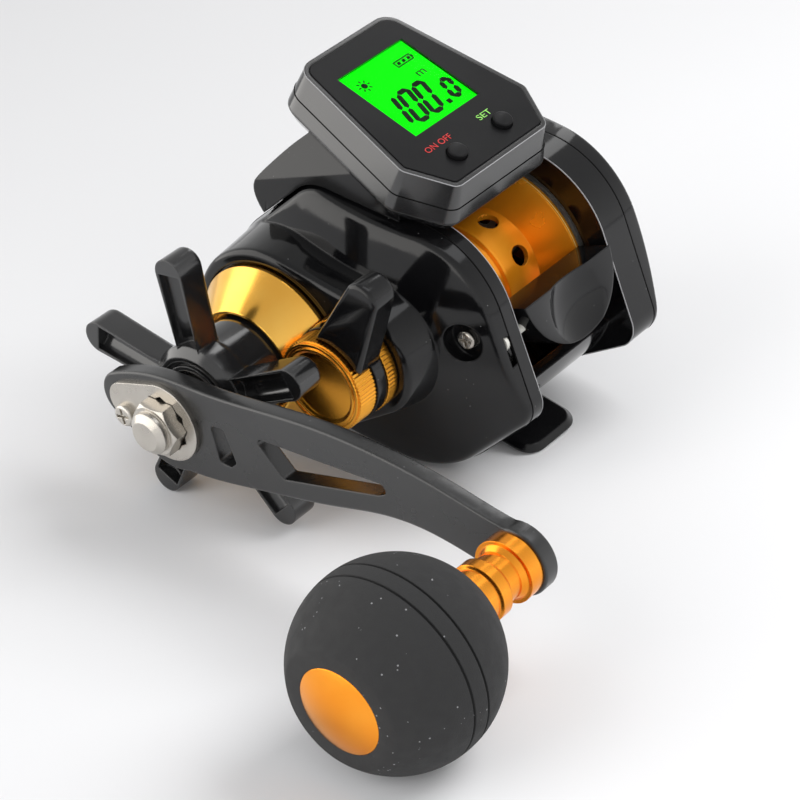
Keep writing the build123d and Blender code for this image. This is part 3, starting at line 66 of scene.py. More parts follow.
def placeCamera():
    forward = Vector(cameraView["forward"]).normalized()
    right = Vector(cameraView["right"])
    right = (right - forward * right.dot(forward)).normalized()
    up = right.cross(forward)
    data = bpy.data.cameras.new("photoCamera")
    data.lens = cameraView["lens"]
    data.sensor_width = cameraView["sensor"]
    camera = addObject("photoCamera", data)
    turn = Matrix((right, up, -forward)).transposed().to_4x4()
    camera.matrix_world = Matrix.Translation(Vector(cameraView["place"])) @ turn
    bpy.context.scene.camera = camera


placeCamera()
print("camera placed")

# Node building, for shaders and for geometry


def findInput(node, key):
    # An input socket by its place, as i0, or by its name.
    if key[0] == "i" and key[1:].isdigit():
        return node.inputs[int(key[1:])]
    wanted = key.replace("_", " ").lower()
    return next(s for s in node.inputs if s.name.lower() == wanted and s.enabled)


def addNode(tree, kind, settings=None, **links):
    # One node: settings are its fields, links are what its inputs take.
    node = tree.nodes.new(kind)
    for key, value in (settings or {}).items():
        setattr(node, key, value)
    for key, value in links.items():
        socket = findInput(node, key)
        if isinstance(value, bpy.types.NodeSocket):
            tree.links.new(value, socket)
        else:
            socket.default_value = value
    return node


def maths(tree, operation, a, b=0.0, c=0.0):
    return addNode(tree, "ShaderNodeMath", {"operation": operation}, i0=a, i1=b, i2=c).outputs[0]


def mixColours(tree, share, a, b):
    return addNode(tree, "ShaderNodeMix", {"data_type": "RGBA"}, i0=share, i6=a, i7=b).outputs[2]


def stretch(tree, value, fromLow, fromHigh, toLow, toHigh):
    node = addNode(tree, "ShaderNodeMapRange", i0=value, i1=fromLow, i2=fromHigh, i3=toLow, i4=toHigh)
    return node.outputs[0]


def newGroup(name, inputs, outputs):
    group = bpy.data.node_groups.new(name, "ShaderNodeTree")
    for label, kind, value in inputs:
        socket = group.interface.new_socket(label, in_out="INPUT", socket_type=kind)
        if value is not None:
            socket.default_value = value
    for label, kind in outputs:
        group.interface.new_socket(label, in_out="OUTPUT", socket_type=kind)
    return group, group.nodes.new("NodeGroupInput"), group.nodes.new("NodeGroupOutput")


# Patterns that several finishes share

specks = {"patchScale": 140.0, "patchDetail": 3.0, "patchLevel": 0.56, "rough": 0.3}
grain = {"fineDetail": 4.0, "slowDetail": 5.0, "low": 0.35, "high": 0.65}
lathe = {"detail": 2.0, "grainShare": 0.2}


def buildSpeckGroup():
    # Sparse pale specks of dust or filler, in patches.
    group, start, end = newGroup("dustSpecks", [("Place", "NodeSocketVector", None),
                                                ("Scale", "NodeSocketFloat", 900.0),
                                                ("Size", "NodeSocketFloat", 0.12)],
                                 [("Mask", "NodeSocketFloat")])
    cells = addNode(group, "ShaderNodeTexVoronoi", {"feature": "F1"}, Vector=start.outputs[0],
                    Scale=start.outputs[1])
    near = maths(group, "LESS_THAN", cells.outputs["Distance"], start.outputs[2])
    patches = addNode(group, "ShaderNodeTexNoise", Vector=start.outputs[0], Scale=specks["patchScale"],
                      Detail=specks["patchDetail"])
    some = maths(group, "GREATER_THAN", patches.outputs[0], specks["patchLevel"])
    group.links.new(maths(group, "MULTIPLY", near, some), end.inputs[0])
    return group


def buildGrainGroup():
    # Fine surface grain: a height for bump and a slow smudge for colour and roughness.
    group, start, end = newGroup("surfaceGrain", [("Place", "NodeSocketVector", None),
                                                  ("Scale", "NodeSocketFloat", 4000.0),
                                                  ("Smudge Scale", "NodeSocketFloat", 60.0)],
                                 [("Height", "NodeSocketFloat"), ("Smudge", "NodeSocketFloat")])
    fine = addNode(group, "ShaderNodeTexNoise", Vector=start.outputs[0], Scale=start.outputs[1],
                   Detail=grain["fineDetail"])
    slow = addNode(group, "ShaderNodeTexNoise", Vector=start.outputs[0], Scale=start.outputs[2],
                   Detail=grain["slowDetail"])
    group.links.new(fine.outputs[0], end.inputs[0])
    group.links.new(stretch(group, slow.outputs[0], grain["low"], grain["high"], 0.0, 1.0), end.inputs[1])
    return group


def buildTurningGroup():
    # Fine lathe lines round an axis along X: they change with the radius and along the axis.
    group, start, end = newGroup("latheLines", [("Place", "NodeSocketVector", None),
                                                ("Pitch", "NodeSocketFloat", 5000.0)],
                                 [("Height", "NodeSocketFloat")])
    parts = addNode(group, "ShaderNodeSeparateXYZ", i0=start.outputs[0])
    square = maths(group, "ADD", maths(group, "MULTIPLY", parts.outputs[1], parts.outputs[1]),
                   maths(group, "MULTIPLY", parts.outputs[2], parts.outputs[2]))
    along = maths(group, "ADD", maths(group, "SQRT", square), parts.outputs[0])
    spread = addNode(group, "ShaderNodeCombineXYZ", i0=maths(group, "MULTIPLY", along, start.outputs[1]))
    lines = addNode(group, "ShaderNodeTexNoise", Vector=spread.outputs[0], Scale=1.0, Detail=lathe["detail"])
    group.links.new(lines.outputs[0], end.inputs[0])
    return group


speckGroup, grainGroup, turningGroup = buildSpeckGroup(), buildGrainGroup(), buildTurningGroup()

# Finishes. Each look has two tones and a range of roughness, and what differs from the usual look.
# "edge" is the radius of rounded edges and "depth" that of the grain, in metres; scales are per metre.

usualLook = {"grainScale": 4000.0, "smudgeScale": 60.0, "edge": 0.0003, "edgeSamples": 4, "bump": 0.05,
             "depth": 0.00005, "metal": 0.0, "ior": 1.5}

spoolAxis = Vector(joints["spool_spin"]["pos_m"])
crankAxis = Vector(joints["handle_spin"]["pos_m"])
knobAxis = Vector(joints["knob_spin"]["pos_m"])

looks = {
    "gloss_black": {"dark": (0.003, 0.003, 0.0035), "light": (0.006, 0.006, 0.0065), "rough": (0.06, 0.12),
                    "ior": 1.42, "grainScale": 1500.0, "bump": 0.012, "edge": 0.0005,
                    "speck": 0.35, "speckTone": (0.3, 0.3, 0.3), "speckScale": 520.0, "speckSize": 0.06},
    "satin_black": {"dark": (0.005, 0.005, 0.0055), "light": (0.008, 0.008, 0.0085), "rough": (0.28, 0.36),
                    "ior": 1.25, "grainScale": 9000.0, "bump": 0.12},
    "graphite": {"dark": (0.004, 0.004, 0.0042), "light": (0.008, 0.008, 0.0084), "rough": (0.24, 0.32),
                 "ior": 1.68, "grainScale": 7000.0, "bump": 0.09, "edge": 0.0005,
                 "speck": 0.3, "speckTone": (0.35, 0.35, 0.35), "speckScale": 420.0, "speckSize": 0.06},
    "caseGloss": {"dark": (0.012, 0.012, 0.0125), "light": (0.017, 0.017, 0.0175), "rough": (0.1, 0.16),
                  "ior": 1.75, "grainScale": 1500.0, "bump": 0.012, "edge": 0.0005},
    "starGloss": {"dark": (0.008, 0.008, 0.0085), "light": (0.012, 0.012, 0.0125), "rough": (0.1, 0.16),
                  "ior": 1.7, "grainScale": 1500.0, "bump": 0.012, "edge": 0.0005},
    "foam_charcoal": {"dark": (0.017, 0.017, 0.0175), "light": (0.022, 0.022, 0.0225), "rough": (0.75, 0.9),
                      "grainScale": 3800.0, "smudgeScale": 420.0, "bump": 0.5, "depth": 0.0001,
                      "edge": 0.0004,
                      "speck": 0.8, "speckTone": (0.3, 0.3, 0.31), "speckScale": 800.0, "speckSize": 0.13},
    "gold": {"dark": (0.97, 0.5, 0.08), "light": (1.0, 0.58, 0.12), "rough": (0.14, 0.22), "metal": 1.0,
             "centre": spoolAxis, "pitch": 5200.0},
    "deepGold": {"dark": (0.8, 0.34, 0.03), "light": (1.0, 0.45, 0.05), "rough": (0.16, 0.24), "metal": 1.0,
                 "centre": spoolAxis, "pitch": 5200.0},
    "spoolGold": {"dark": (1.0, 0.32, 0.01), "light": (1.0, 0.4, 0.02), "rough": (0.2, 0.28), "metal": 0.55,
                  "centre": spoolAxis, "pitch": 5200.0},
    # A brighter, yellower gold for the painted highlight ring along the spool flange's rim.
    "paintedRimHighlight": {"dark": (1.0, 0.6, 0.15), "light": (1.0, 0.7, 0.25), "rough": (0.25, 0.35), "metal": 0.4,
                "bump": 0.02},
    "orange": {"dark": (0.95, 0.3, 0.02), "light": (1.0, 0.38, 0.04), "rough": (0.18, 0.26), "metal": 1.0,
               "bump": 0.06, "centre": knobAxis, "pitch": 6000.0},
    "steel": {"dark": (0.5, 0.48, 0.45), "light": (0.62, 0.6, 0.57), "rough": (0.25, 0.36), "metal": 1.0,
              "edge": 0.00025, "bump": 0.08, "centre": crankAxis, "pitch": 7000.0},
    "chrome": {"dark": (0.46, 0.43, 0.39), "light": (0.6, 0.57, 0.52), "rough": (0.22, 0.34), "metal": 1.0,
               "grainScale": 2500.0, "bump": 0.12},
    "brass": {"dark": (0.6, 0.4, 0.12), "light": (0.74, 0.52, 0.2), "rough": (0.2, 0.32), "metal": 1.0,
              "edge": 0.0002},
    "magnet": {"dark": (0.5, 0.5, 0.52), "light": (0.66, 0.66, 0.68), "rough": (0.15, 0.25), "metal": 1.0,
               "bump": 0.03},
    "drag": {"dark": (0.05, 0.048, 0.045), "light": (0.1, 0.095, 0.09), "rough": (0.7, 0.85),
             "grainScale": 3000.0, "bump": 0.4},
    "nylon": {"dark": (0.6, 0.59, 0.54), "light": (0.72, 0.71, 0.66), "rough": (0.4, 0.5),
              "grainScale": 5000.0, "bump": 0.06},
    "ceramic": {"dark": (0.09, 0.09, 0.1), "light": (0.15, 0.15, 0.16), "rough": (0.06, 0.12), "ior": 1.7,
                "bump": 0.01},
    "board": {"dark": (0.01, 0.09, 0.03), "light": (0.02, 0.16, 0.05), "rough": (0.3, 0.45),
              "grainScale": 3500.0, "bump": 0.1},
    "lcd": {"dark": (0.0, 0.1, 0.0), "light": (0.0, 0.12, 0.0), "rough": (0.5, 0.6), "ior": 1.2, "bump": 0.01,
            "glow": (0.0, 0.95, 0.0), "glowStrength": 1.0},
    "clear": {"dark": (0.98, 0.99, 0.98), "light": (1.0, 1.0, 1.0), "rough": (0.0, 0.02), "ior": 1.05,
              "bump": 0.0, "clear": 1.0},
    "ink": {"dark": (0.001, 0.003, 0.001), "light": (0.003, 0.006, 0.003), "rough": (0.5, 0.6), "ior": 1.2,
            "bump": 0.02},
    "seam": {"dark": (0.001, 0.001, 0.001), "light": (0.002, 0.002, 0.002), "rough": (0.7, 0.8), "ior": 1.2,
             "bump": 0.02},
    # Pale grey: the painted highlight lines along the plates' and the case's edges, and also the brake dial's
    # printed ticks.
    "paintedHighlightAndTicks": {"dark": (0.32, 0.32, 0.33), "light": (0.42, 0.42, 0.43), "rough": (0.3, 0.4), "bump": 0.02},
    "redPrint": {"dark": (0.6, 0.02, 0.02), "light": (0.75, 0.035, 0.03), "rough": (0.4, 0.5), "bump": 0.02},
    "greenPrint": {"dark": (0.25, 0.7, 0.1), "light": (0.35, 0.85, 0.16), "rough": (0.4, 0.5), "bump": 0.02},
}


def finish(name, look):
    # One material from its look: two tones, grain, specks, lathe lines and rounded edges.
    material = bpy.data.materials.new(name)
    material.use_nodes = True
    tree = material.node_tree
    tree.nodes.clear()
    place = addNode(tree, "ShaderNodeTexCoord").outputs["Object"]
    surface = addNode(tree, "ShaderNodeGroup", {"node_tree": grainGroup}, Place=place,
                      Scale=look["grainScale"], Smudge_Scale=look["smudgeScale"])
    smudge = surface.outputs["Smudge"]
    colour = mixColours(tree, smudge, (*look["dark"], 1), (*look["light"], 1))
    rough = stretch(tree, smudge, 0.0, 1.0, *look["rough"])
    bevel = addNode(tree, "ShaderNodeBevel", {"samples": look["edgeSamples"]}, Radius=look["edge"])
    if "speck" in look:
        mask = addNode(tree, "ShaderNodeGroup", {"node_tree": speckGroup}, Place=place,
                       Scale=look["speckScale"], Size=look["speckSize"]).outputs[0]
        share = maths(tree, "MULTIPLY", mask, look["speck"])
        colour = mixColours(tree, share, colour, (*look["speckTone"], 1))
        rough = maths(tree, "ADD", rough, maths(tree, "MULTIPLY", mask, specks["rough"]))
    height = surface.outputs["Height"]
    if "centre" in look:
        centred = addNode(tree, "ShaderNodeMapping", Vector=place, Location=tuple(-c for c in look["centre"]))
        lines = addNode(tree, "ShaderNodeGroup", {"node_tree": turningGroup}, Place=centred.outputs[0],
                        Pitch=look["pitch"]).outputs[0]
        height = maths(tree, "ADD", maths(tree, "MULTIPLY", height, lathe["grainShare"]), lines)
    bump = addNode(tree, "ShaderNodeBump", Strength=look["bump"], Distance=look["depth"], Height=height,
                   Normal=bevel.outputs[0])
    shader = addNode(tree, "ShaderNodeBsdfPrincipled", Base_Color=colour, Roughness=rough,
                     Normal=bump.outputs[0], Metallic=look["metal"], IOR=look["ior"])
    if "glow" in look:
        shader.inputs["Emission Color"].default_value = (*look["glow"], 1)
        shader.inputs["Emission Strength"].default_value = look["glowStrength"]
    if "clear" in look:
        shader.inputs["Transmission Weight"].default_value = look["clear"]
    output = addNode(tree, "ShaderNodeOutputMaterial")
    tree.links.new(shader.outputs[0], output.inputs["Surface"])
    return material


finishes = {name: finish(name, {**usualLook, **look}) for name, look in looks.items()}
print("finishes made", len(finishes))

# Dressed copies of the CAD nodes: merged, smooth shaded, with sharp edges kept

shadeAngle = {"usual": 32.0, "knob_grip": 40.0, "star_drag": 35.0}  # degrees
mergeGap = 2e-6  # metres
plainNodes = ("counter_window", "lcd_panel")
finishOf = dict(slotOf, counter_case="caseGloss", counter_base="caseGloss", star_drag="starGloss",
                front_hood="gloss_black", tension_knob="deepGold", tension_skirt="deepGold",
                spool="spoolGold")


def dress(node, material):
    mesh = nodes[node].data.copy()
    build = bmesh.new()
    build.from_mesh(mesh)
    bmesh.ops.remove_doubles(build, verts=build.verts, dist=mergeGap)
    limit = radians(shadeAngle.get(node, shadeAngle["usual"]))
    for edge in build.edges:
        edge.smooth = len(edge.link_faces) == 2 and edge.calc_face_angle(pi) < limit
    for face in build.faces:
        face.smooth = True
    build.to_mesh(mesh)
    build.free()
    if "custom_normal" in mesh.attributes:
        mesh.attributes.remove(mesh.attributes["custom_normal"])
    mesh.materials.clear()
    mesh.materials.append(material)
    piece = addObject(node + "_skin", mesh)
    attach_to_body(piece, bodyOf[node])
    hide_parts(node)


for node in nodes:
    for place in nodes[node].material_slots:
        place.material = finishes[finishOf[node]]
    if node not in plainNodes:
        dress(node, finishes[finishOf[node]])
print("nodes dressed", len(nodes) - len(plainNodes))

# Geometry trees: a round line along a closed path, and a ring of marks


def newTree(name, inputs):
    tree = bpy.data.node_groups.new(name, "GeometryNodeTree")
    tree.interface.new_socket("Geometry", in_out="INPUT", socket_type="NodeSocketGeometry")
    for label, kind, value in inputs:
        socket = tree.interface.new_socket(label, in_out="INPUT", socket_type=kind)
        if value is not None:
            socket.default_value = value
    tree.interface.new_socket("Geometry", in_out="OUTPUT", socket_type="NodeSocketGeometry")
    return tree, tree.nodes.new("NodeGroupInput"), tree.nodes.new("NodeGroupOutput")


def endTree(tree, start, end, geometry):
    # Every tree ends in real, smooth geometry with its material set.
    smooth = addNode(tree, "GeometryNodeSetShadeSmooth", i0=geometry)
    real = addNode(tree, "GeometryNodeRealizeInstances", i0=smooth.outputs[0])
    coloured = addNode(tree, "GeometryNodeSetMaterial", i0=real.outputs[0],
                       Material=start.outputs["Material"])
    tree.links.new(coloured.outputs[0], end.inputs[0])


def buildLineTree():
    tree, start, end = newTree("lineAlongPath", [("Radius", "NodeSocketFloat", 0.0001),
                                                 ("Sides", "NodeSocketInt", 8),
                                                 ("Material", "NodeSocketMaterial", None)])
    path = addNode(tree, "GeometryNodeMeshToCurve", i0=start.outputs["Geometry"])
    profile = addNode(tree, "GeometryNodeCurvePrimitiveCircle", Resolution=start.outputs["Sides"],
                      Radius=start.outputs["Radius"])
    tube = addNode(tree, "GeometryNodeCurveToMesh", Curve=path.outputs[0], Profile_Curve=profile.outputs[0])
    endTree(tree, start, end, tube.outputs[0])
    return tree


def buildMarkTree():
    tree, start, end = newTree("ringOfMarks", [("Count", "NodeSocketInt", 10),
                                               ("Radius", "NodeSocketFloat", 0.008),
                                               ("Size", "NodeSocketVector", (0.001, 0.0003, 0.0001)),
                                               ("Centre", "NodeSocketVector", (0, 0, 0)),
                                               ("Material", "NodeSocketMaterial", None)])
    ring = addNode(tree, "GeometryNodeMeshCircle", Vertices=start.outputs["Count"],
                   Radius=start.outputs["Radius"])
    mark = addNode(tree, "GeometryNodeMeshCube", Size=start.outputs["Size"])
    index = addNode(tree, "GeometryNodeInputIndex").outputs[0]
    step = maths(tree, "DIVIDE", 2 * pi, start.outputs["Count"])
    turn = addNode(tree, "ShaderNodeCombineXYZ", i2=maths(tree, "MULTIPLY", index, step))
    marks = addNode(tree, "GeometryNodeInstanceOnPoints", Points=ring.outputs[0], Instance=mark.outputs[0],
                    Rotation=turn.outputs[0])
    placed = addNode(tree, "GeometryNodeTransform", i0=marks.outputs[0], Translation=start.outputs["Centre"],
                     Rotation=(0, pi / 2, 0))  # the ring's face turned to +X
    endTree(tree, start, end, placed.outputs[0])
    return tree


lineTree, markTree = buildLineTree(), buildMarkTree()


def attach(obj, body):
    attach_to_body(obj, body)


def runTree(name, mesh, tree, values):
    # Result of a tree as a plain mesh object.
    obj = addObject(name, mesh)
    modifier = obj.modifiers.new(name, "NODES")
    modifier.node_group = tree
    for item in tree.interface.items_tree:
        if item.in_out == "INPUT" and item.name in values:
            modifier[item.identifier] = values[item.name]
    graph = bpy.context.evaluated_depsgraph_get()
    made = bpy.data.meshes.new_from_object(obj.evaluated_get(graph))
    obj.modifiers.clear()
    obj.data = made
    return obj


def closedLine(name, path, radius, material, body):
    # A thin round line along a closed path; its radius is in millimetres.
    mesh = bpy.data.meshes.new(name + "_path")
    count = len(path)
    mesh.from_pydata([tuple(p) for p in path], [(k, (k + 1) % count) for k in range(count)], [])
    obj = runTree(name, mesh, lineTree, {"Radius": radius * mm, "Material": finishes[material]})
    attach(obj, body)


# Seams between the side covers and the frame, painted highlight lines along the plates' edges and a painted
# highlight ring on the spool's rim.
# Lengths from here to the display's end are millimetres, and places count from the spool axis.

reelLift = joints["spool_spin"]["pos_m"][2] / mm  # height of the spool axis above the foot
plateRounds = {"crown": (-4.0, 6.0, 19.8), "tail": (-26.0, -3.0, 5.5), "brow": (19.0, 13.0, 10.0),
               "gearCase": (20.0, -8.9, 22.0), "belly": (-5.0, -7.5, 20.5), "nose": (23.0, -3.0, 13.0),
               "chin": (17.0, -11.0, 10.0), "heel": (-13.0, -13.0, 7.0)}  # each one's y, z and radius
seams = {"near": {"x": -13.7, "highlightX": -10.7, "rounds": ("crown", "tail", "brow", "gearCase", "belly")},
         "far": {"x": 25.7, "highlightX": 18.7, "rounds": ("crown", "tail", "brow", "nose", "chin", "heel")}}
# "edge" is the radius of the pale line that paints the highlight along each plate's edge, and its sink how far in
# it sits.
seamLine = {"groove": 0.16, "grooveSink": 0.55, "edge": 0.12, "highlightSink": 0.6, "steps": 240}
# Place and radius of the painted highlight ring on the spool flange's rim, in millimetres.
spoolRimHighlight = {"x": 17.4, "radius": 19.42, "line": 0.13, "steps": 120}


def fromAxis(x, y, z):
    return Vector((x, y, z + reelLift)) * mm


def ringRound(names, x, grow):
    # Outline of a side plate: in each direction the round that reaches furthest.
    path = []
    for a in circleAngles(seamLine["steps"]):
        rounds = [plateRounds[name] for name in names]
        y, z, r = max(rounds, key=lambda c: c[0] * cos(a) + c[1] * sin(a) + c[2])
        path.append(fromAxis(x, y + (r + grow) * cos(a), z + (r + grow) * sin(a)))
    return path


for side, seam in seams.items():
    groove, edge = seamLine["groove"], seamLine["edge"]
    seamPath = ringRound(seam["rounds"], seam["x"], -groove * seamLine["grooveSink"])
    closedLine(side + "_seam", seamPath, groove, "seam", "body")
    # The pale line paints the highlight along each side plate's edge.
    highlightPath = ringRound(seam["rounds"], seam["highlightX"], -edge * seamLine["highlightSink"])
    closedLine(side + "_edge", highlightPath, edge, "paintedHighlightAndTicks", "body")
# A bright gold ring that paints the highlight along the spool flange's rim.
rimHighlightPath = [fromAxis(spoolRimHighlight["x"], spoolRimHighlight["radius"] * cos(a), spoolRimHighlight["radius"] * sin(a))
           for a in circleAngles(spoolRimHighlight["steps"])]
closedLine("spool_rim_highlight", rimHighlightPath, spoolRimHighlight["line"], "paintedRimHighlight", "spool_group")
print("seams drawn")

# Counter display: prints on the screen and the face, a dark seam line and a painted highlight line round the case.
# Its own points count from the middle of its face; u and v are shares of the screen.

display = {"tilt": 7.4, "forward": 15.5, "up": 41.1, "screen": (18.9, 19.4), "screenTop": -0.5,
           "inkRise": 0.04, "wordLift": 0.05, "textDepth": 0.05}
case = {"front": (12.2, 15.6), "waist": (17.6, -13.7), "rear": (12.9, -22.4), "frontRound": 3.0,
        "waistRound": 1.2, "arcSteps": 8, "inset": 0.9, "draft": 11.0}
# The seam is the dark joint between the case's shells; the pale line at the rim is a painted highlight along the
# case's edge.
caseLines = {"case_seam": {"drop": 5.4, "radius": 0.13, "material": "seam"},
             "case_rim_highlight": {"drop": 0.25, "radius": 0.11, "material": "paintedHighlightAndTicks"}}
# A cell holds the lit strokes, its left and low corner, width, height and lean.
digits = {"stroke": 0.058, "gap": 0.002, "dot": (0.70, 0.13), "dotHalf": 0.028,
          "cells": (("bc", 0.03, 0.15, 0.12, 0.37, 0.30), ("abcdef", 0.225, 0.12, 0.14, 0.39, 0.30),
                    ("abcdef", 0.44, 0.115, 0.14, 0.38, 0.30), ("abcdef", 0.79, 0.135, 0.105, 0.235, 0.22))}
strokeEnds = {"a": ((0, 1), (1, 1)), "b": ((1, 1), (1, 0.5)), "c": ((1, 0.5), (1, 0)), "d": ((0, 0), (1, 0)),
              "e": ((0, 0), (0, 0.5)), "f": ((0, 0.5), (0, 1))}
battery = {"left": 0.66, "low": 0.75, "width": 0.25, "height": 0.085, "line": 0.014, "bars": 3, "lean": 0.25,
           "barShare": 0.55, "barStartShare": 0.2, "barGapLines": 1.7, "nubLowShare": 0.3, "nubShare": 0.4}
lampMark = {"centre": (0.17, 0.79), "radius": 0.035, "ray": (0.05, 0.08), "rays": 8, "line": 0.014,
            "steps": 20}
words = {"unit": {"text": "m", "centre": (5.6, 1.4), "size": (2.2, 1.3), "material": "ink",
                  "base": display["screenTop"]},
         "powerWord": {"text": "ON OFF", "centre": (-7.6, -13.6), "size": (7.2, 1.35), "material": "redPrint",
                       "base": display["wordLift"]},
         "setWord": {"text": "SET", "centre": (5.6, -14.0), "size": (3.7, 1.35), "material": "greenPrint",
                     "base": display["wordLift"]}}


def displayPoint(x, y, z):
    t = radians(display["tilt"])
    return Vector((x, display["forward"] + y * cos(t) - z * sin(t),
                   display["up"] + reelLift + y * sin(t) + z * cos(t))) * mm


def screenPoint(u, v):
    return (u - 0.5) * display["screen"][0], (v - 0.5) * display["screen"][1]


def strokeBar(p, q):
    # Six-sided bar between two points of the screen, pointed at its ends.
    p, q = Vector(p), Vector(q)
    way = (q - p).normalized()
    half, gap = digits["stroke"] / 2, digits["gap"]
    side = Vector((-way.y, way.x)) * half
    near, far = p + way * (gap + half), q - way * (gap + half)
    return [p + way * gap, near - side, far - side, q - way * gap, far + side, near + side]


def rectangle(left, low, width, height, lean=0.0):
    return [(left, low), (left + width, low), (left + width + height * lean, low + height),
            (left + height * lean, low + height)]


def digitOutlines():
    made = []
    for lit, left, low, width, height, lean in digits["cells"]:
        for name in lit:
            ends = [(left + x * width + y * height * lean, low + y * height) for x, y in strokeEnds[name]]
            made.append(strokeBar(*ends))
    (u, v), half = digits["dot"], digits["dotHalf"]
    made.append(rectangle(u - half, v - half, 2 * half, 2 * half))
    return made


def batteryOutlines():
    left, low, width, height, line = (battery[k] for k in ("left", "low", "width", "height", "line"))
    made = [rectangle(left, low, width, line),
            rectangle(left, low + height - line, width, line),
            rectangle(left, low + line, line, height - 2 * line),
            rectangle(left + width - line, low + line, line, height - 2 * line),
            rectangle(left + width, low + height * battery["nubLowShare"], line,
                      height * battery["nubShare"])]
    step = (width - 2 * line) / battery["bars"]
    gap = battery["barGapLines"] * line
    for k in range(battery["bars"]):
        barLeft = left + line + step * (k + battery["barStartShare"])
        made.append(rectangle(barLeft, low + gap, step * battery["barShare"], height - 2 * gap,
                              battery["lean"]))
    return made


def lampOutlines():
    centre, radius = Vector(lampMark["centre"]), lampMark["radius"]
    made = [[centre + Vector((cos(a), sin(a))) * radius for a in circleAngles(lampMark["steps"])]]
    low, high = lampMark["ray"]
    for a in circleAngles(lampMark["rays"]):
        way = Vector((cos(a), sin(a)))
        side = Vector((-way.y, way.x)) * lampMark["line"] / 2
        inner, outer = centre + way * low, centre + way * high
        made.append([inner - side, outer - side, outer + side, inner + side])
    return made


def printOnScreen(name, outlines):
    # Thin plates on the screen, one for each outline.
    build = bmesh.new()
    low, high = display["screenTop"], display["screenTop"] + display["inkRise"]
    for outline in outlines:
        flat = [screenPoint(*p) for p in outline]
        bottom = [build.verts.new(displayPoint(x, y, low)) for x, y in flat]
        top = [build.verts.new(displayPoint(x, y, high)) for x, y in flat]
        build.faces.new(list(reversed(bottom)))
        build.faces.new(top)
        for k in range(len(flat)):
            after = (k + 1) % len(flat)
            build.faces.new((bottom[k], bottom[after], top[after], top[k]))
    mesh = bpy.data.meshes.new(name)
    build.to_mesh(mesh)
    build.free()
    mesh.materials.append(finishes["ink"])
    attach(addObject(name, mesh), "body")


def printWord(name, word):
    # A word as a thin solid, fitted to its size on the display.
    curve = bpy.data.curves.new(name, "FONT")
    curve.body = word["text"]
    curve.extrude = display["textDepth"]
    source = addObject(name + "_text", curve)
    graph = bpy.context.evaluated_depsgraph_get()
    mesh = bpy.data.meshes.new_from_object(source.evaluated_get(graph))
    bpy.data.objects.remove(source)
    build = bmesh.new()
    build.from_mesh(mesh)
    bmesh.ops.remove_doubles(build, verts=build.verts, dist=1e-6)
    bmesh.ops.recalc_face_normals(build, faces=build.faces)
    low = [min(v.co[i] for v in build.verts) for i in range(3)]
    high = [max(v.co[i] for v in build.verts) for i in range(3)]
    (x, y), (width, height) = word["centre"], word["size"]
    for v in build.verts:
        u, w, rise = [(v.co[i] - low[i]) / (high[i] - low[i]) for i in range(3)]
        v.co = displayPoint(x + (u - 0.5) * width, y + (w - 0.5) * height,
                            word["base"] + rise * display["inkRise"])
    build.to_mesh(mesh)
    build.free()
    mesh.materials.clear()
    mesh.materials.append(finishes[word["material"]])
    attach(addObject(name, mesh), "body")


def caseRing(drop, grow):
    # Outline of the case at a depth below its face: its six sides moved out and its corners rounded.
    order = (("front", 1), ("front", -1), ("waist", -1), ("rear", -1), ("rear", 1), ("waist", 1))
    points = [Vector((case[name][0] * side, case[name][1])) for name, side in order]
    rounding = [case["frontRound"] if name == "front" else case["waistRound"] for name, side in order]
    path = []
    for k, here in enumerate(points):
        before, after = points[k - 1], points[(k + 1) % len(points)]
        come, leave = (here - before).normalized(), (after - here).normalized()
        turn = come.angle(leave)
        outer = here + (Vector((-come.y, come.x)) + Vector((-leave.y, leave.x))) * -grow / (1 + cos(turn))
        radius = rounding[k] + grow
        start = outer - come * radius * tan(turn / 2)
        centre = start + Vector((-come.y, come.x)) * radius
        arm = start - centre
        for step in range(case["arcSteps"] + 1):
            a = turn * step / case["arcSteps"]
            turned = Vector((arm.x * cos(a) - arm.y * sin(a), arm.x * sin(a) + arm.y * cos(a)))
            path.append(centre + turned)
    return [displayPoint(p.x, p.y, -drop) for p in path]


for name, line in caseLines.items():
    grow = case["inset"] + line["drop"] * tan(radians(case["draft"]))
    closedLine(name, caseRing(line["drop"], grow), line["radius"], line["material"], "body")
printOnScreen("screen_digits", digitOutlines())
printOnScreen("battery_mark", batteryOutlines())
printOnScreen("lamp_mark", lampOutlines())
for name, word in words.items():
    printWord(name, word)
print("display printed")

# Ticks on the flat rim of the brake dial, outside its groove, in metres

dialTicks = {"count": 10, "radius": 0.0091, "length": 0.0011, "width": 0.0004, "height": 0.00006}


def makeDialTicks():
    inner = dialTicks["radius"] - dialTicks["length"] / 2
    rim = max(v.co.x for v in nodes["brake_dial"].data.vertices
              if hypot(v.co.y - spoolAxis.y, v.co.z - spoolAxis.z) > inner)
    values = {"Count": dialTicks["count"], "Radius": dialTicks["radius"],
              "Size": (dialTicks["length"], dialTicks["width"], dialTicks["height"]),
              "Centre": (rim, spoolAxis.y, spoolAxis.z), "Material": finishes["paintedHighlightAndTicks"]}
    obj = runTree("dial_ticks", bpy.data.meshes.new("dial_ticks_start"), markTree, values)
    attach(obj, bodyOf["brake_dial"])
    print("dial rim at", round(rim / mm, 3), "mm")


makeDialTicks()

# Floor under the three points that the reel rests on in the photograph, and the studio, in metres

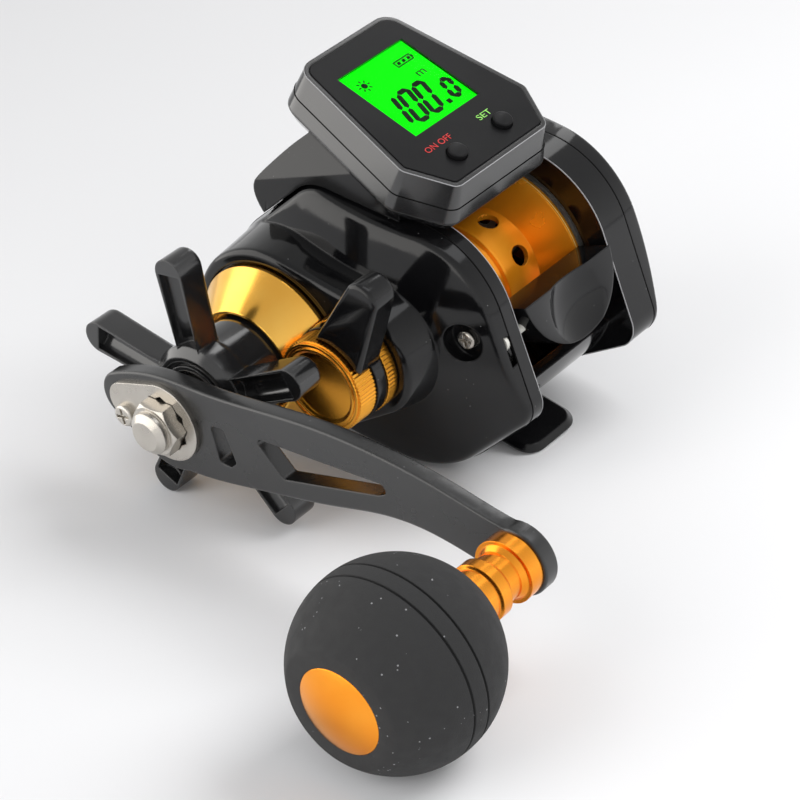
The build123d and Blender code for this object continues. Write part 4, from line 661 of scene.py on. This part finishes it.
studio = {"middle": (-0.02, 0.0, 0.03), "backTone": (0.84, 0.84, 0.85), "ambient": 0.46}
paper = {"half": 0.9, "sides": 64, "tone": (0.8, 0.8, 0.81), "toneLift": 1.03, "noiseScale": 9.0,
         "noiseDetail": 3.0, "rests": ("reel_foot", "star_drag", "knob_grip"), "upGuess": (-0.06, 0.33, 0.94),
         "tries": 6, "drop": 0.0002}
dome = {"radius": 2.2, "segments": 48, "rings": 24, "horizon": 1.1, "zenith": 0.55, "zenithRise": 0.9}
cards = {
    "leftWall": {"way": (-0.76, 0.62, -0.05), "distance": 0.36, "size": (0.75, 0.5), "strength": 2.6,
                 "tone": (1.0, 0.98, 0.95)},
    "topBox": {"way": (0.30, 0.10, 0.95), "distance": 1.0, "size": (0.7, 0.45), "strength": 2.2,
               "tone": (0.97, 0.98, 1.0)},
    "rightStrip": {"way": (0.75, 0.42, 0.42), "distance": 1.1, "size": (0.18, 0.7), "strength": 3.0,
                   "tone": (1.0, 1.0, 1.0)},
}
lamps = {
    "key": {"way": (0.55, -0.25, 0.85), "distance": 0.7, "size": 0.5, "power": 4.0},
    "fill": {"way": (-0.85, 0.45, 0.5), "distance": 0.8, "size": 0.6, "power": 2.4},
    "front": {"way": (-0.5, -0.6, 0.7), "distance": 0.8, "size": 0.5, "power": 1.6},
}


def restPlane():
    # Plane through the lowest points of the pieces that touch the floor.
    normal = Vector(paper["upGuess"]).normalized()
    for _ in range(paper["tries"]):
        feet = [min((v.co for v in nodes[name].data.vertices), key=lambda p: p.dot(normal)).copy()
                for name in paper["rests"]]
        normal = (feet[1] - feet[0]).cross(feet[2] - feet[0]).normalized()
        if normal.z < 0:
            normal.negate()
    low = min(v.co.dot(normal) for name in nodes for v in nodes[name].data.vertices)
    return normal, normal * (low - paper["drop"])


def plainMaterial(name, build):
    material = bpy.data.materials.new(name)
    material.use_nodes = True
    tree = material.node_tree
    tree.nodes.clear()
    output = addNode(tree, "ShaderNodeOutputMaterial")
    tree.links.new(build(tree), output.inputs["Surface"])
    return material


def paperShader(tree):
    # Pale paper, clear from below so that low views see the reel.
    place = addNode(tree, "ShaderNodeTexCoord").outputs["Object"]
    noise = addNode(tree, "ShaderNodeTexNoise", Vector=place, Scale=paper["noiseScale"],
                    Detail=paper["noiseDetail"]).outputs[0]
    bright = [t * paper["toneLift"] for t in paper["tone"]]
    tone = mixColours(tree, noise, (*paper["tone"], 1), (*bright, 1))
    face = addNode(tree, "ShaderNodeBsdfDiffuse", Color=tone)
    hidden = addNode(tree, "ShaderNodeBsdfTransparent")
    back = addNode(tree, "ShaderNodeNewGeometry").outputs["Backfacing"]
    return addNode(tree, "ShaderNodeMixShader", i0=back, i1=face.outputs[0], i2=hidden.outputs[0]).outputs[0]


def makeFloor():
    normal, point = restPlane()
    across = normal.cross(Vector((0, 1, 0))).normalized()
    along = normal.cross(across)
    ring = [point + (across * cos(a) + along * sin(a)) * paper["half"] for a in circleAngles(paper["sides"])]
    mesh = bpy.data.meshes.new("floor")
    mesh.from_pydata([tuple(p) for p in ring], [], [list(range(len(ring)))])
    if mesh.polygons[0].normal.dot(normal) < 0:
        mesh.flip_normals()
    mesh.materials.append(plainMaterial("floorPaper", paperShader))
    addObject("floor", mesh)
    return normal


floorUp = makeFloor()
middle = Vector(studio["middle"])


def glow(tone, strength):
    def build(tree):
        return addNode(tree, "ShaderNodeEmission", Color=(*tone, 1), Strength=strength).outputs[0]
    return build


def onlyInReflections(obj):
    obj.visible_camera = False
    obj.visible_diffuse = False
    obj.visible_shadow = False
    obj.visible_transmission = False


def makeCard(name, card):
    # A bright card that faces the reel, seen only in its gloss.
    way = Vector(card["way"]).normalized()
    across = Vector((0, 0, 1)).cross(way).normalized()
    rise = way.cross(across)
    centre = middle + way * card["distance"]
    wide, high = card["size"][0] / 2, card["size"][1] / 2
    corners = [centre + across * (sx * wide) + rise * (sy * high)
               for sx, sy in ((-1, -1), (1, -1), (1, 1), (-1, 1))]
    mesh = bpy.data.meshes.new(name)
    mesh.from_pydata([tuple(c) for c in corners], [], [[0, 1, 2, 3]])
    mesh.materials.append(plainMaterial(name, glow(card["tone"], card["strength"])))
    onlyInReflections(addObject(name, mesh))


def roomShader(tree):
    place = addNode(tree, "ShaderNodeTexCoord").outputs["Object"]
    unit = addNode(tree, "ShaderNodeVectorMath", {"operation": "NORMALIZE"}, i0=place)
    rise = addNode(tree, "ShaderNodeVectorMath", {"operation": "DOT_PRODUCT"}, i0=unit.outputs[0],
                   i1=tuple(floorUp))
    level = stretch(tree, rise.outputs["Value"], 0.0, dome["zenithRise"], dome["horizon"], dome["zenith"])
    return addNode(tree, "ShaderNodeEmission", Color=(1, 1, 1, 1), Strength=level).outputs[0]


def makeDome():
    # Room above the floor, brightest at its horizon, seen only by reflections.
    build = bmesh.new()
    bmesh.ops.create_uvsphere(build, u_segments=dome["segments"], v_segments=dome["rings"],
                              radius=dome["radius"])
    mesh = bpy.data.meshes.new("room")
    build.to_mesh(mesh)
    build.free()
    mesh.transform(floorUp.to_track_quat("Z", "Y").to_matrix().to_4x4())
    mesh.flip_normals()
    mesh.materials.append(plainMaterial("roomWall", roomShader))
    onlyInReflections(addObject("room", mesh))


def makeLamp(name, lamp):
    data = bpy.data.lights.new(name, "AREA")
    data.shape = "SQUARE"
    data.size = lamp["size"]
    data.energy = lamp["power"]
    way = Vector(lamp["way"]).normalized()
    obj = addObject(name, data)
    turn = way.to_track_quat("Z", "Y").to_matrix().to_4x4()
    obj.matrix_world = Matrix.Translation(middle + way * lamp["distance"]) @ turn
    obj.visible_glossy = False


def makeWorld():
    # The backdrop's colour for the camera, gloss and glass, and an even light for the rest.
    world = bpy.data.worlds.new("studio")
    world.use_nodes = True
    tree = world.node_tree
    tree.nodes.clear()
    light = addNode(tree, "ShaderNodeLightPath")
    seen = maths(tree, "MAXIMUM", light.outputs["Is Camera Ray"], light.outputs["Is Glossy Ray"])
    seen = maths(tree, "MAXIMUM", seen, light.outputs["Is Transmission Ray"])
    shown = addNode(tree, "ShaderNodeBackground", Color=(*studio["backTone"], 1), Strength=1.0)
    ambient = addNode(tree, "ShaderNodeBackground", Color=(1, 1, 1, 1), Strength=studio["ambient"])
    mix = addNode(tree, "ShaderNodeMixShader", i0=seen, i1=ambient.outputs[0], i2=shown.outputs[0])
    output = addNode(tree, "ShaderNodeOutputWorld")
    tree.links.new(mix.outputs[0], output.inputs["Surface"])
    bpy.context.scene.world = world


for name, card in cards.items():
    makeCard(name, card)
makeDome()
for name, lamp in lamps.items():
    makeLamp(name, lamp)
makeWorld()
bpy.context.scene.view_settings.view_transform = "Standard"
print("studio made, floor up", [round(c, 3) for c in floorUp])
